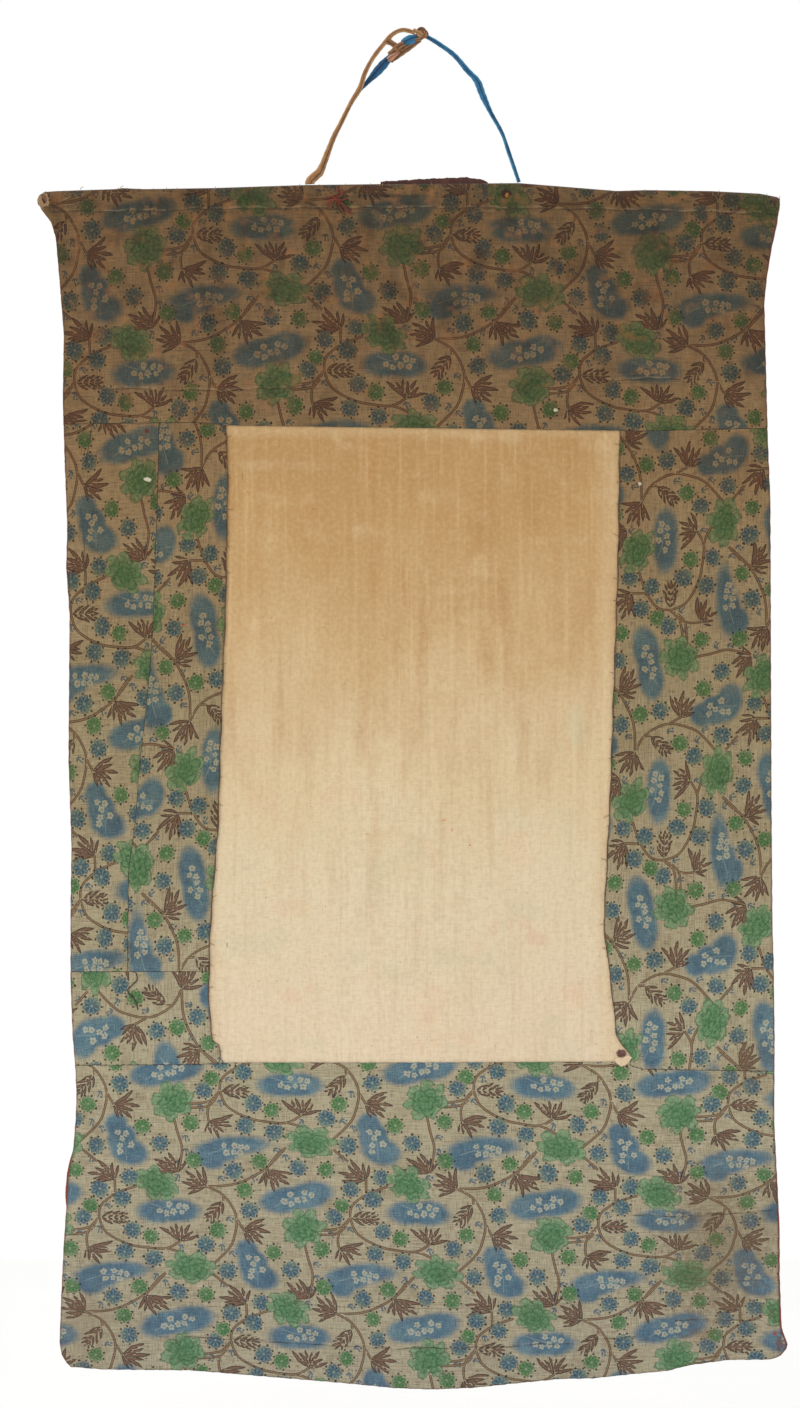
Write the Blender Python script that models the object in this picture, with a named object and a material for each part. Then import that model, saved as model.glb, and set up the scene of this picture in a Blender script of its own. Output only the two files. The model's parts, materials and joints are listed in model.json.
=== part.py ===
"""Thangka scroll painting, hung with its back to the viewer.

The painted canvas lies between a silk mount (front, +Y) and a printed cotton lining (back, -Y).
The lining is pieced from six panels that leave the canvas bare in the middle. A wooden batten runs
in a sleeve along the top edge, and two strips of cloth rise from the sleeve to a knotted loop.

The frame: X to the right, Z up, the cloth in the XZ plane. The origin is under the top of the loop.
Tables give places in millimetres: x from the hanging's centre line, drop downwards from the origin.
"""
import math

import bmesh
import bpy

MM = 0.001

# Cloth: each sheet is one layer, and neighbouring layers or panels stay one gap apart
CLOTH_THICK = 1.0
CANVAS_THICK = 1.0
GAP = 0.3
CELL = 30.0
MIDDLE_X = 0.0
MIDDLE_DROP = 700.0
CROSSING_ROUNDS = 6
SHARP_ANGLE = math.radians(40.0)
FRONT_EDGE_SHOWS = 0.9

# The stretched canvas, a plain rectangle whose margins lie under the lining and the mount
CANVAS_LEFT = -208.0
CANVAS_RIGHT = 234.0
CANVAS_TOP = 377.0
CANVAS_BOTTOM = 1035.0
CANVAS_SLOPE = 8.0
CANVAS_MARGIN = 2.0

# The window of the silk mount on the front, a little inside the canvas
WINDOW_LEFT = -190.0
WINDOW_RIGHT = 212.0
WINDOW_TOP = 392.0
WINDOW_BOTTOM = 1022.0

# The batten and the sleeve round it
BATTEN_START = -358.0
BATTEN_END = 360.0
BATTEN_HALF_HEIGHT = 6.0
BATTEN_HALF_THICK = 3.5
BATTEN_SIDES = 12
SLEEVE_BULGE = 3.9
SLEEVE_SEAM_BELOW_AXIS = 13.0
SLEEVE_STEPS = 4

# The left outer edge of the cloth: (drop, x)
LEFT_EDGE = (
    (153.0, -362.0), (157.0, -368.5), (162.5, -370.4), (170.0, -367.5), (179.0, -361.0),
    (183.0, -357.0), (200.0, -352.0), (246.0, -348.0), (297.0, -344.0), (362.0, -345.0),
    (425.0, -343.0), (490.0, -340.4), (529.0, -341.5), (577.0, -338.0), (722.0, -339.0),
    (809.0, -336.0), (871.0, -337.0), (943.0, -337.0), (996.0, -335.0), (1032.0, -332.0),
    (1060.0, -331.0), (1083.0, -332.0), (1108.0, -334.0), (1137.0, -339.0), (1164.0, -340.5),
    (1206.0, -343.5), (1255.0, -346.0), (1305.0, -348.0), (1316.0, -346.0), (1324.0, -341.5),
    (1330.0, -335.0),
)

# The right outer edge of the cloth: (drop, x)
RIGHT_EDGE = (
    (157.0, 368.0), (161.0, 371.5), (165.0, 372.0), (179.0, 369.0), (214.0, 362.0),
    (239.0, 358.5), (265.0, 356.0), (324.0, 357.5), (402.0, 359.5), (462.0, 362.0),
    (762.0, 363.0), (892.0, 364.0), (922.0, 365.0), (999.0, 366.0), (1082.0, 365.5),
    (1192.0, 370.0), (1238.0, 370.0), (1268.0, 371.0), (1291.0, 372.0), (1299.0, 375.5),
    (1306.0, 377.5), (1312.0, 376.5), (1317.0, 371.0), (1321.0, 363.0),
)

# The top edge, which dips beyond the straps: (x, drop)
TOP_EDGE = (
    (-370.0, 155.5), (-365.0, 154.0), (-352.0, 153.0), (-293.0, 151.0), (-286.0, 150.0),
    (-263.0, 151.0), (-194.0, 150.0), (-103.0, 147.0), (-28.0, 146.0), (111.0, 145.0),
    (160.0, 149.0), (209.0, 153.0), (237.0, 152.0), (304.0, 153.0), (352.0, 155.5), (372.0, 159.5),
)

# The bottom edge, a slack curve: (x, drop)
BOTTOM_EDGE = (
    (-348.0, 1328.0), (-336.0, 1328.5), (-305.0, 1331.0), (-247.0, 1332.0), (-218.0, 1332.5),
    (-176.0, 1336.0), (-138.0, 1339.0), (-61.0, 1345.0), (-15.0, 1349.5), (25.0, 1351.0),
    (65.0, 1349.5), (100.0, 1346.0), (152.0, 1341.0), (186.0, 1340.5), (227.0, 1336.0),
    (259.0, 1333.0), (282.0, 1327.0), (320.0, 1321.5), (363.0, 1321.0), (377.0, 1316.0),
)

# The crooked line of the batten's centre: (x, drop)
BATTEN_AXIS = (
    (-372.0, 163.5), (-180.0, 160.5), (0.0, 157.7), (111.0, 157.5), (215.0, 161.5), (373.0, 165.5),
)

# The seam under the top panel, and the one above the bottom panel: (x, drop)
UPPER_SEAM = ((-346.0, 386.0), (-210.0, 384.4), (-180.3, 387.4), (236.0, 393.0), (360.0, 390.0))
LOWER_SEAM = (
    (-337.0, 1027.0), (-210.0, 1026.4), (-180.3, 1024.5), (206.3, 1023.6), (236.0, 1031.1),
    (367.0, 1033.0),
)

# The seam between the two strips on the left, and the edges of the window in the lining: (drop, x)
STRIP_SEAM = (
    (380.0, -249.0), (417.0, -249.3), (521.0, -252.5), (590.0, -255.0), (631.0, -258.0),
    (686.0, -263.4), (722.0, -268.0), (782.0, -272.3), (834.0, -279.4), (934.0, -280.5),
)
WINDOW_LEFT_EDGE = (
    (386.0, -182.0), (432.0, -180.0), (562.0, -182.0), (662.0, -186.0), (792.0, -190.0),
    (853.0, -195.0), (896.0, -198.0), (943.0, -199.0), (969.0, -199.0), (1003.0, -195.5),
    (1005.0, -189.0), (1021.0, -187.0), (1027.0, -181.0),
)
WINDOW_RIGHT_EDGE = (
    (392.0, 211.6), (522.0, 210.0), (612.0, 207.0), (762.0, 202.0), (892.0, 195.6),
    (904.0, 198.0), (942.0, 202.5), (968.0, 205.6), (996.0, 208.0), (1005.0, 213.0),
    (1019.0, 223.6), (1031.0, 221.0),
)
# The piece sewn across under the two left strips begins here
LOWER_PIECE_TOP = 933.5
# Between these drops the strips are even, and below them the canvas corners are turned out
LEFT_CORNER = (1003.0, 1005.0, 1021.0)
RIGHT_CORNER = (996.0, 1005.0, 1019.0)

# The soft folds of the hanging cloth, each a shallow trough or ridge that runs down it:
# (x at the top, x at the bottom, half width, depth at the top, depth at the bottom)
FOLDS = (
    (-290.0, -325.0, 95.0, 0.6, -3.8),
    (-140.0, -175.0, 100.0, -1.0, 3.4),
    (30.0, -5.0, 120.0, 0.8, -4.2),
    (190.0, 205.0, 95.0, -0.8, 3.0),
    (325.0, 345.0, 95.0, 0.8, -4.0),
)
FOLDS_TOP = 175.0
FOLDS_BOTTOM = 1350.0

# The strip of red cloth sewn along the front of the sleeve, which shows over the top edge
TOP_STRIP_ABOVE = ((-27.5, 143.4), (17.0, 140.6), (59.0, 139.0), (77.0, 142.0), (84.0, 148.0))
TOP_STRIP_HIDDEN = 14.0
TOP_STRIP_THICK = 1.2
TOP_STRIP_CELL = 7.0
TOP_STRIP_STEPS = 4

# The loop: strips of cloth gathered round, and the knot where they meet. Routes are (x, drop, y),
# and the radii follow the route from its first point to its last
STRAP_SIDE_STEPS = 2
STRAP_SPACING = 9.0
TAN_ROUTE = (
    (-98.0, 146.2, 0.0), (-97.5, 142.5, 0.0), (-91.5, 137.0, -0.2), (-86.5, 130.5, -0.4),
    (-75.0, 101.0, -0.6), (-67.0, 85.0, -0.8), (-57.0, 65.0, -1.0), (-48.0, 50.0, -1.2),
    (-43.0, 35.0, -1.0), (-35.0, 20.0, -0.6), (-25.0, 7.0, -0.2), (-15.0, -4.0, 0.0),
    (-4.5, -8.0, 0.0), (6.9, -5.0, 0.0),
)
TAN_RADII = (4.6, 2.9, 2.5, 2.5)
BLUE_ROUTE = (
    (111.0, 144.2, 0.0), (101.0, 115.0, 0.0), (94.0, 95.0, 0.2), (83.0, 75.0, 0.4),
    (75.0, 58.0, 0.4), (69.0, 43.0, 0.2), (59.0, 32.0, 0.0), (46.0, 17.0, 0.0),
    (29.5, 5.0, 0.0), (20.8, -0.2, 0.0),
)
BLUE_RADII = (1.8, 2.0, 3.4, 2.2)
TAIL_ROUTE = (
    (8.8, 0.6, 0.8), (3.0, 3.6, 1.6), (-12.0, 12.0, 2.6), (-19.0, 20.0, 3.2),
    (-28.0, 30.0, 4.0), (-40.0, 43.0, 4.9), (-48.0, 52.0, 5.2), (-50.5, 57.0, 5.0),
)
TAIL_RADII = (2.0, 2.6, 3.2, 2.4)
KNOT_CENTRE = (14.0, -4.0, 0.0)
KNOT_HALF = (6.6, 5.4, 5.0)
WRAP_CENTRE = (-17.6, 5.6, 1.0)
WRAP_HALF = (2.6, 2.3, 2.6)
KNOT_RINGS = 8
KNOT_SIDES = 14

# Colours of the pieces: (red, green, blue), and their roughness
CLOTH_ROUGHNESS = 0.9
PRINT_COLOUR = (0.42, 0.34, 0.24)
CANVAS_COLOUR = (0.74, 0.62, 0.43)
SILK_COLOUR = (0.24, 0.06, 0.035)
WOOD_COLOUR = (0.22, 0.13, 0.07)
TAN_COLOUR = (0.40, 0.23, 0.08)
BLUE_COLOUR = (0.02, 0.09, 0.22)
BROWN_COLOUR = (0.16, 0.08, 0.05)


def clear_scene():
    """Remove whatever the open file holds."""
    for item in list(bpy.data.objects):
        bpy.data.objects.remove(item, do_unlink=True)


def smooth(value):
    """An even step from 0 to 1."""
    value = min(max(value, 0.0), 1.0)
    return value * value * (3.0 - 2.0 * value)


def read_table(table, place):
    """The second column of a table at a place in its first, on straight lines between rows."""
    if place <= table[0][0]:
        return table[0][1]
    for low, high in zip(table, table[1:]):
        if place <= high[0]:
            share = (place - low[0]) / (high[0] - low[0])
            return low[1] + (high[1] - low[1]) * share
    return table[-1][1]


def hang(x, drop):
    """How far the cloth's middle lies behind the hanging's plane: the soft folds."""
    down = smooth((drop - FOLDS_TOP) / (FOLDS_BOTTOM - FOLDS_TOP))
    total = 0.0
    for x_top, x_bottom, half_width, depth_top, depth_bottom in FOLDS:
        centre = x_top + (x_bottom - x_top) * down
        depth = depth_top + (depth_bottom - depth_top) * down
        total += depth * math.exp(-((x - centre) / half_width) ** 2)
    return total


def sleeve_bulge(x, drop):
    """How far either side of the sleeve stands out round the batten."""
    axis = read_table(BATTEN_AXIS, x)
    if drop < axis:
        share = (axis - drop) / (axis - read_table(TOP_EDGE, x))
    else:
        share = (drop - axis) / SLEEVE_SEAM_BELOW_AXIS
    return SLEEVE_BULGE * math.cos(0.5 * math.pi * min(share, 1.0))


def canvas_lift(x, drop):
    """How far the outer cloths stand off where the canvas lies between them."""
    aside = max(CANVAS_LEFT - x, x - CANVAS_RIGHT, 0.0)
    above = max(CANVAS_TOP - drop, drop - CANVAS_BOTTOM, 0.0)
    beyond = math.hypot(aside, above) - CANVAS_MARGIN
    return 0.5 * (CANVAS_THICK + GAP) * (1.0 - smooth(beyond / CANVAS_SLOPE))


def lining_faces(x, drop):
    """The two faces of the cotton lining, as y in millimetres."""
    inner = hang(x, drop) - 0.5 * GAP - canvas_lift(x, drop) - sleeve_bulge(x, drop)
    return inner, inner - CLOTH_THICK


def mount_faces(x, drop):
    """The two faces of the silk mount."""
    inner = hang(x, drop) + 0.5 * GAP + canvas_lift(x, drop) + sleeve_bulge(x, drop)
    return inner, inner + CLOTH_THICK


def canvas_faces(x, drop):
    """The two faces of the painted canvas."""
    middle = hang(x, drop)
    return middle - 0.5 * CANVAS_THICK, middle + 0.5 * CANVAS_THICK


def top_strip_faces(x, drop):
    """The two faces of the red strip, which lies against the mount's front."""
    inner = mount_faces(x, drop)[1] + GAP
    return inner, inner + TOP_STRIP_THICK


def fixed(value):
    """A straight grid line at one value."""
    return lambda place: value


def edge(table, shift=0.0):
    """A grid line along one of the tables, moved aside by a shift."""
    return lambda place: read_table(table, place) + shift


def blend(first, last, share):
    """A grid line part of the way between two others."""
    return lambda place: first(place) + (last(place) - first(place)) * share


def spread(first, last, middle, cell=CELL):
    """Grid lines from one line to another, about a cell apart where they cross the cloth's middle."""
    count = max(1, round(abs(last(middle) - first(middle)) / cell))
    return [blend(first, last, step / count) for step in range(count + 1)]


def sleeve_rows():
    """Grid rows from the top edge, round the batten, to the sleeve's seam."""
    axis = edge(BATTEN_AXIS)
    seam = edge(BATTEN_AXIS, SLEEVE_SEAM_BELOW_AXIS)
    upper = [blend(edge(TOP_EDGE), axis, step / SLEEVE_STEPS) for step in range(SLEEVE_STEPS)]
    lower = [blend(axis, seam, step / SLEEVE_STEPS) for step in range(SLEEVE_STEPS + 1)]
    return upper + lower


def full_width(left, right):
    """Grid columns across the whole hanging, with one at each side of the slope by the canvas."""
    lift_left, lift_right = fixed(CANVAS_LEFT - CANVAS_MARGIN), fixed(CANVAS_RIGHT + CANVAS_MARGIN)
    columns = spread(left, fixed(CANVAS_LEFT - CANVAS_MARGIN - CANVAS_SLOPE), MIDDLE_DROP)
    columns += spread(lift_left, lift_right, MIDDLE_DROP)
    columns += spread(fixed(CANVAS_RIGHT + CANVAS_MARGIN + CANVAS_SLOPE), right, MIDDLE_DROP)
    return columns


def left_side(left, window):
    """Grid columns of a piece on the left of the canvas, from its outer edge to the window."""
    outer = spread(left, fixed(CANVAS_LEFT - CANVAS_MARGIN - CANVAS_SLOPE), MIDDLE_DROP)
    return outer + [fixed(CANVAS_LEFT - CANVAS_MARGIN), window]


def right_side(window, right):
    """Grid columns of a piece on the right of the canvas, from the window to its outer edge."""
    outer = spread(fixed(CANVAS_RIGHT + CANVAS_MARGIN + CANVAS_SLOPE), right, MIDDLE_DROP)
    return [window, fixed(CANVAS_RIGHT + CANVAS_MARGIN)] + outer


def top_rows(lower_edge):
    """Grid rows of a top panel: round the batten, down to the canvas and over its margin."""
    sleeve = sleeve_rows()
    below = spread(sleeve[-1], fixed(CANVAS_TOP - CANVAS_MARGIN - CANVAS_SLOPE), MIDDLE_X)
    return sleeve[:-1] + below + [fixed(CANVAS_TOP - CANVAS_MARGIN), lower_edge]


def bottom_rows(upper_edge):
    """Grid rows of a bottom panel: off the canvas margin and down to the hem."""
    below = spread(fixed(CANVAS_BOTTOM + CANVAS_MARGIN + CANVAS_SLOPE), edge(BOTTOM_EDGE), MIDDLE_X)
    return [upper_edge, fixed(CANVAS_BOTTOM + CANVAS_MARGIN)] + below


def grid_points(columns, rows):
    """Where the grid's lines cross, as (x, drop): a column gives x and a row gives drop."""
    points = []
    for row in rows:
        line = []
        for column in columns:
            x = MIDDLE_X
            drop = MIDDLE_DROP
            for _ in range(CROSSING_ROUNDS):
                drop = row(x)
                x = column(drop)
            line.append((x, row(x)))
        points.append(line)
    return points


def make_material(name, colour, roughness=CLOTH_ROUGHNESS):
    """A plain principled material."""
    material = bpy.data.materials.new(name)
    material.use_nodes = True
    shader = material.node_tree.nodes["Principled BSDF"]
    shader.inputs["Base Color"].default_value = (*colour, 1.0)
    shader.inputs["Roughness"].default_value = roughness
    shader.inputs["Metallic"].default_value = 0.0
    return material


def add_mesh(name, body, material):
    """Turn a bmesh into an object with its faces pointing out."""
    bmesh.ops.recalc_face_normals(body, faces=body.faces)
    mesh = bpy.data.meshes.new(name)
    body.to_mesh(mesh)
    body.free()
    mesh.materials.append(material)
    mesh.shade_smooth()
    mesh.set_sharp_from_angle(angle=SHARP_ANGLE)
    made = bpy.data.objects.new(name, mesh)
    bpy.context.collection.objects.link(made)
    return made


def add_sheet(name, columns, rows, faces, material):
    """One piece of cloth: a thin closed sheet on a grid, between its two faces."""
    points = grid_points(columns, rows)
    body = bmesh.new()
    layers = []
    for side in (0, 1):
        layer = []
        for line in points:
            layer.append([body.verts.new((x * MM, faces(x, drop)[side] * MM, -drop * MM))
                          for x, drop in line])
        layers.append(layer)
    last_row = len(rows) - 1
    last_column = len(columns) - 1
    for layer in layers:
        for i in range(last_row):
            for j in range(last_column):
                body.faces.new((layer[i][j], layer[i][j + 1], layer[i + 1][j + 1], layer[i + 1][j]))
    near, far = layers
    for j in range(last_column):
        for i in (0, last_row):
            body.faces.new((near[i][j], near[i][j + 1], far[i][j + 1], far[i][j]))
    for i in range(last_row):
        for j in (0, last_column):
            body.faces.new((near[i][j], near[i + 1][j], far[i + 1][j], far[i][j]))
    return add_mesh(name, body, material)


def build_lining():
    """The six panels of printed cotton on the back, edge to edge at their seams."""
    cotton = make_material("printed_cotton", PRINT_COLOUR)
    left = edge(LEFT_EDGE)
    right = edge(RIGHT_EDGE)
    window_left = edge(WINDOW_LEFT_EDGE)
    width = full_width(left, right)
    add_sheet("lining_top", width, top_rows(edge(UPPER_SEAM)), lining_faces, cotton)
    add_sheet("lining_bottom", width, bottom_rows(edge(LOWER_SEAM, GAP)), lining_faces, cotton)

    strip_top = edge(UPPER_SEAM, GAP)
    strip_rows = spread(strip_top, fixed(LOWER_PIECE_TOP), MIDDLE_X)
    outer_columns = spread(left, edge(STRIP_SEAM, -GAP), MIDDLE_DROP)
    add_sheet("lining_left_outer", outer_columns, strip_rows, lining_faces, cotton)
    inner_columns = left_side(edge(STRIP_SEAM), window_left)
    add_sheet("lining_left_inner", inner_columns, strip_rows, lining_faces, cotton)

    even_end, corner, corner_end = LEFT_CORNER
    piece_rows = spread(fixed(LOWER_PIECE_TOP + GAP), fixed(even_end), MIDDLE_X)
    piece_rows += [fixed(corner), fixed(corner_end), edge(LOWER_SEAM)]
    add_sheet("lining_left_lower", left_side(left, window_left), piece_rows, lining_faces, cotton)

    even_end, corner, corner_end = RIGHT_CORNER
    right_rows = spread(strip_top, fixed(even_end), MIDDLE_X)
    right_rows += [fixed(corner), fixed(corner_end), edge(LOWER_SEAM)]
    right_columns = right_side(edge(WINDOW_RIGHT_EDGE), right)
    add_sheet("lining_right", right_columns, right_rows, lining_faces, cotton)


def build_mount():
    """The four panels of silk on the front. They reach a little past the lining at the sides."""
    silk = make_material("mount_silk", SILK_COLOUR)
    left = edge(LEFT_EDGE, -FRONT_EDGE_SHOWS)
    right = edge(RIGHT_EDGE, FRONT_EDGE_SHOWS)
    width = full_width(left, right)
    add_sheet("mount_top", width, top_rows(fixed(WINDOW_TOP)), mount_faces, silk)
    add_sheet("mount_bottom", width, bottom_rows(fixed(WINDOW_BOTTOM)), mount_faces, silk)
    side_rows = spread(fixed(WINDOW_TOP + GAP), fixed(WINDOW_BOTTOM - GAP), MIDDLE_X)
    add_sheet("mount_left", left_side(left, fixed(WINDOW_LEFT)), side_rows, mount_faces, silk)
    add_sheet("mount_right", right_side(fixed(WINDOW_RIGHT), right), side_rows, mount_faces, silk)


def build_canvas():
    """The painted canvas, whose bare back shows in the window of the lining."""
    cloth = make_material("canvas", CANVAS_COLOUR)
    columns = spread(fixed(CANVAS_LEFT), fixed(CANVAS_RIGHT), MIDDLE_DROP)
    rows = spread(fixed(CANVAS_TOP), fixed(CANVAS_BOTTOM), MIDDLE_X)
    add_sheet("canvas", columns, rows, canvas_faces, cloth)


def build_top_strip():
    """The short strip of red cloth along the middle of the top edge."""
    silk = make_material("top_strip_cloth", SILK_COLOUR)
    first = TOP_STRIP_ABOVE[0][0]
    last = TOP_STRIP_ABOVE[-1][0]
    columns = spread(fixed(first), fixed(last), MIDDLE_DROP, TOP_STRIP_CELL)
    top = edge(TOP_EDGE)
    hidden = edge(TOP_EDGE, TOP_STRIP_HIDDEN)
    rows = [edge(TOP_STRIP_ABOVE)]
    rows += [blend(top, hidden, step / TOP_STRIP_STEPS) for step in range(1, TOP_STRIP_STEPS + 1)]
    add_sheet("top_strip", columns, rows, top_strip_faces, silk)


def build_batten():
    """The whittled batten: flat oval sections along its crooked line."""
    wood = make_material("batten_wood", WOOD_COLOUR, 0.7)
    body = bmesh.new()
    count = round((BATTEN_END - BATTEN_START) / CELL)
    rings = []
    for step in range(count + 1):
        x = BATTEN_START + (BATTEN_END - BATTEN_START) * step / count
        drop = read_table(BATTEN_AXIS, x)
        ring = []
        for side in range(BATTEN_SIDES):
            angle = 2.0 * math.pi * side / BATTEN_SIDES
            y = hang(x, drop) + BATTEN_HALF_THICK * math.cos(angle)
            height = drop + BATTEN_HALF_HEIGHT * math.sin(angle)
            ring.append(body.verts.new((x * MM, y * MM, -height * MM)))
        rings.append(ring)
    for first, second in zip(rings, rings[1:]):
        for side in range(BATTEN_SIDES):
            after = (side + 1) % BATTEN_SIDES
            body.faces.new((first[side], first[after], second[after], second[side]))
    body.faces.new(rings[0])
    body.faces.new(rings[-1])
    add_mesh("batten", body, wood)


def curve_through(points, spacing):
    """Even points on a smooth curve through the route's own points."""
    padded = [points[0]] + list(points) + [points[-1]]
    found = []
    for a, b, c, d in zip(padded, padded[1:], padded[2:], padded[3:]):
        steps = max(1, round(math.dist(b, c) / spacing))
        for step in range(steps):
            t = step / steps
            found.append(tuple(
                0.5 * (2.0 * q + (r - p) * t + (2.0 * p - 5.0 * q + 4.0 * r - s) * t * t
                       + (3.0 * q - p - 3.0 * r + s) * t * t * t)
                for p, q, r, s in zip(a, b, c, d)))
    found.append(points[-1])
    return found


def add_strap(name, route, radii, colour):
    """One strip of the loop: a tube with filled ends along its route."""
    points = curve_through(route, STRAP_SPACING)
    data = bpy.data.curves.new(name, "CURVE")
    data.dimensions = "3D"
    data.bevel_depth = MM
    data.bevel_resolution = STRAP_SIDE_STEPS
    data.use_fill_caps = True
    spline = data.splines.new("POLY")
    spline.points.add(len(points) - 1)
    for index, (x, drop, y) in enumerate(points):
        spline.points[index].co = (x * MM, y * MM, -drop * MM, 1.0)
        place = index / (len(points) - 1) * (len(radii) - 1)
        low = min(int(place), len(radii) - 2)
        spline.points[index].radius = radii[low] + (radii[low + 1] - radii[low]) * (place - low)
    data.materials.append(make_material(name + "_cloth", colour))
    made = bpy.data.objects.new(name, data)
    bpy.context.collection.objects.link(made)
    return made


def add_knot(name, centre, half, colour):
    """A small round lump of knotted cloth."""
    body = bmesh.new()
    bmesh.ops.create_uvsphere(body, u_segments=KNOT_SIDES, v_segments=KNOT_RINGS, radius=1.0)
    x, drop, y = centre
    for corner in body.verts:
        corner.co.x = (x + corner.co.x * half[0]) * MM
        corner.co.y = (y + corner.co.y * half[2]) * MM
        corner.co.z = (-drop + corner.co.z * half[1]) * MM
    add_mesh(name, body, make_material(name + "_cloth", colour))


def build_loop():
    """The hanging loop: a tan and a blue strip, the blue one's tail, the knot and its wrap."""
    add_strap("strap_tan", TAN_ROUTE, TAN_RADII, TAN_COLOUR)
    add_strap("strap_blue", BLUE_ROUTE, BLUE_RADII, BLUE_COLOUR)
    add_strap("strap_tail", TAIL_ROUTE, TAIL_RADII, BLUE_COLOUR)
    add_knot("loop_knot", KNOT_CENTRE, KNOT_HALF, BLUE_COLOUR)
    add_knot("loop_wrap", WRAP_CENTRE, WRAP_HALF, BROWN_COLOUR)


clear_scene()
build_canvas()
build_mount()
build_lining()
build_batten()
build_top_strip()
build_loop()
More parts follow.
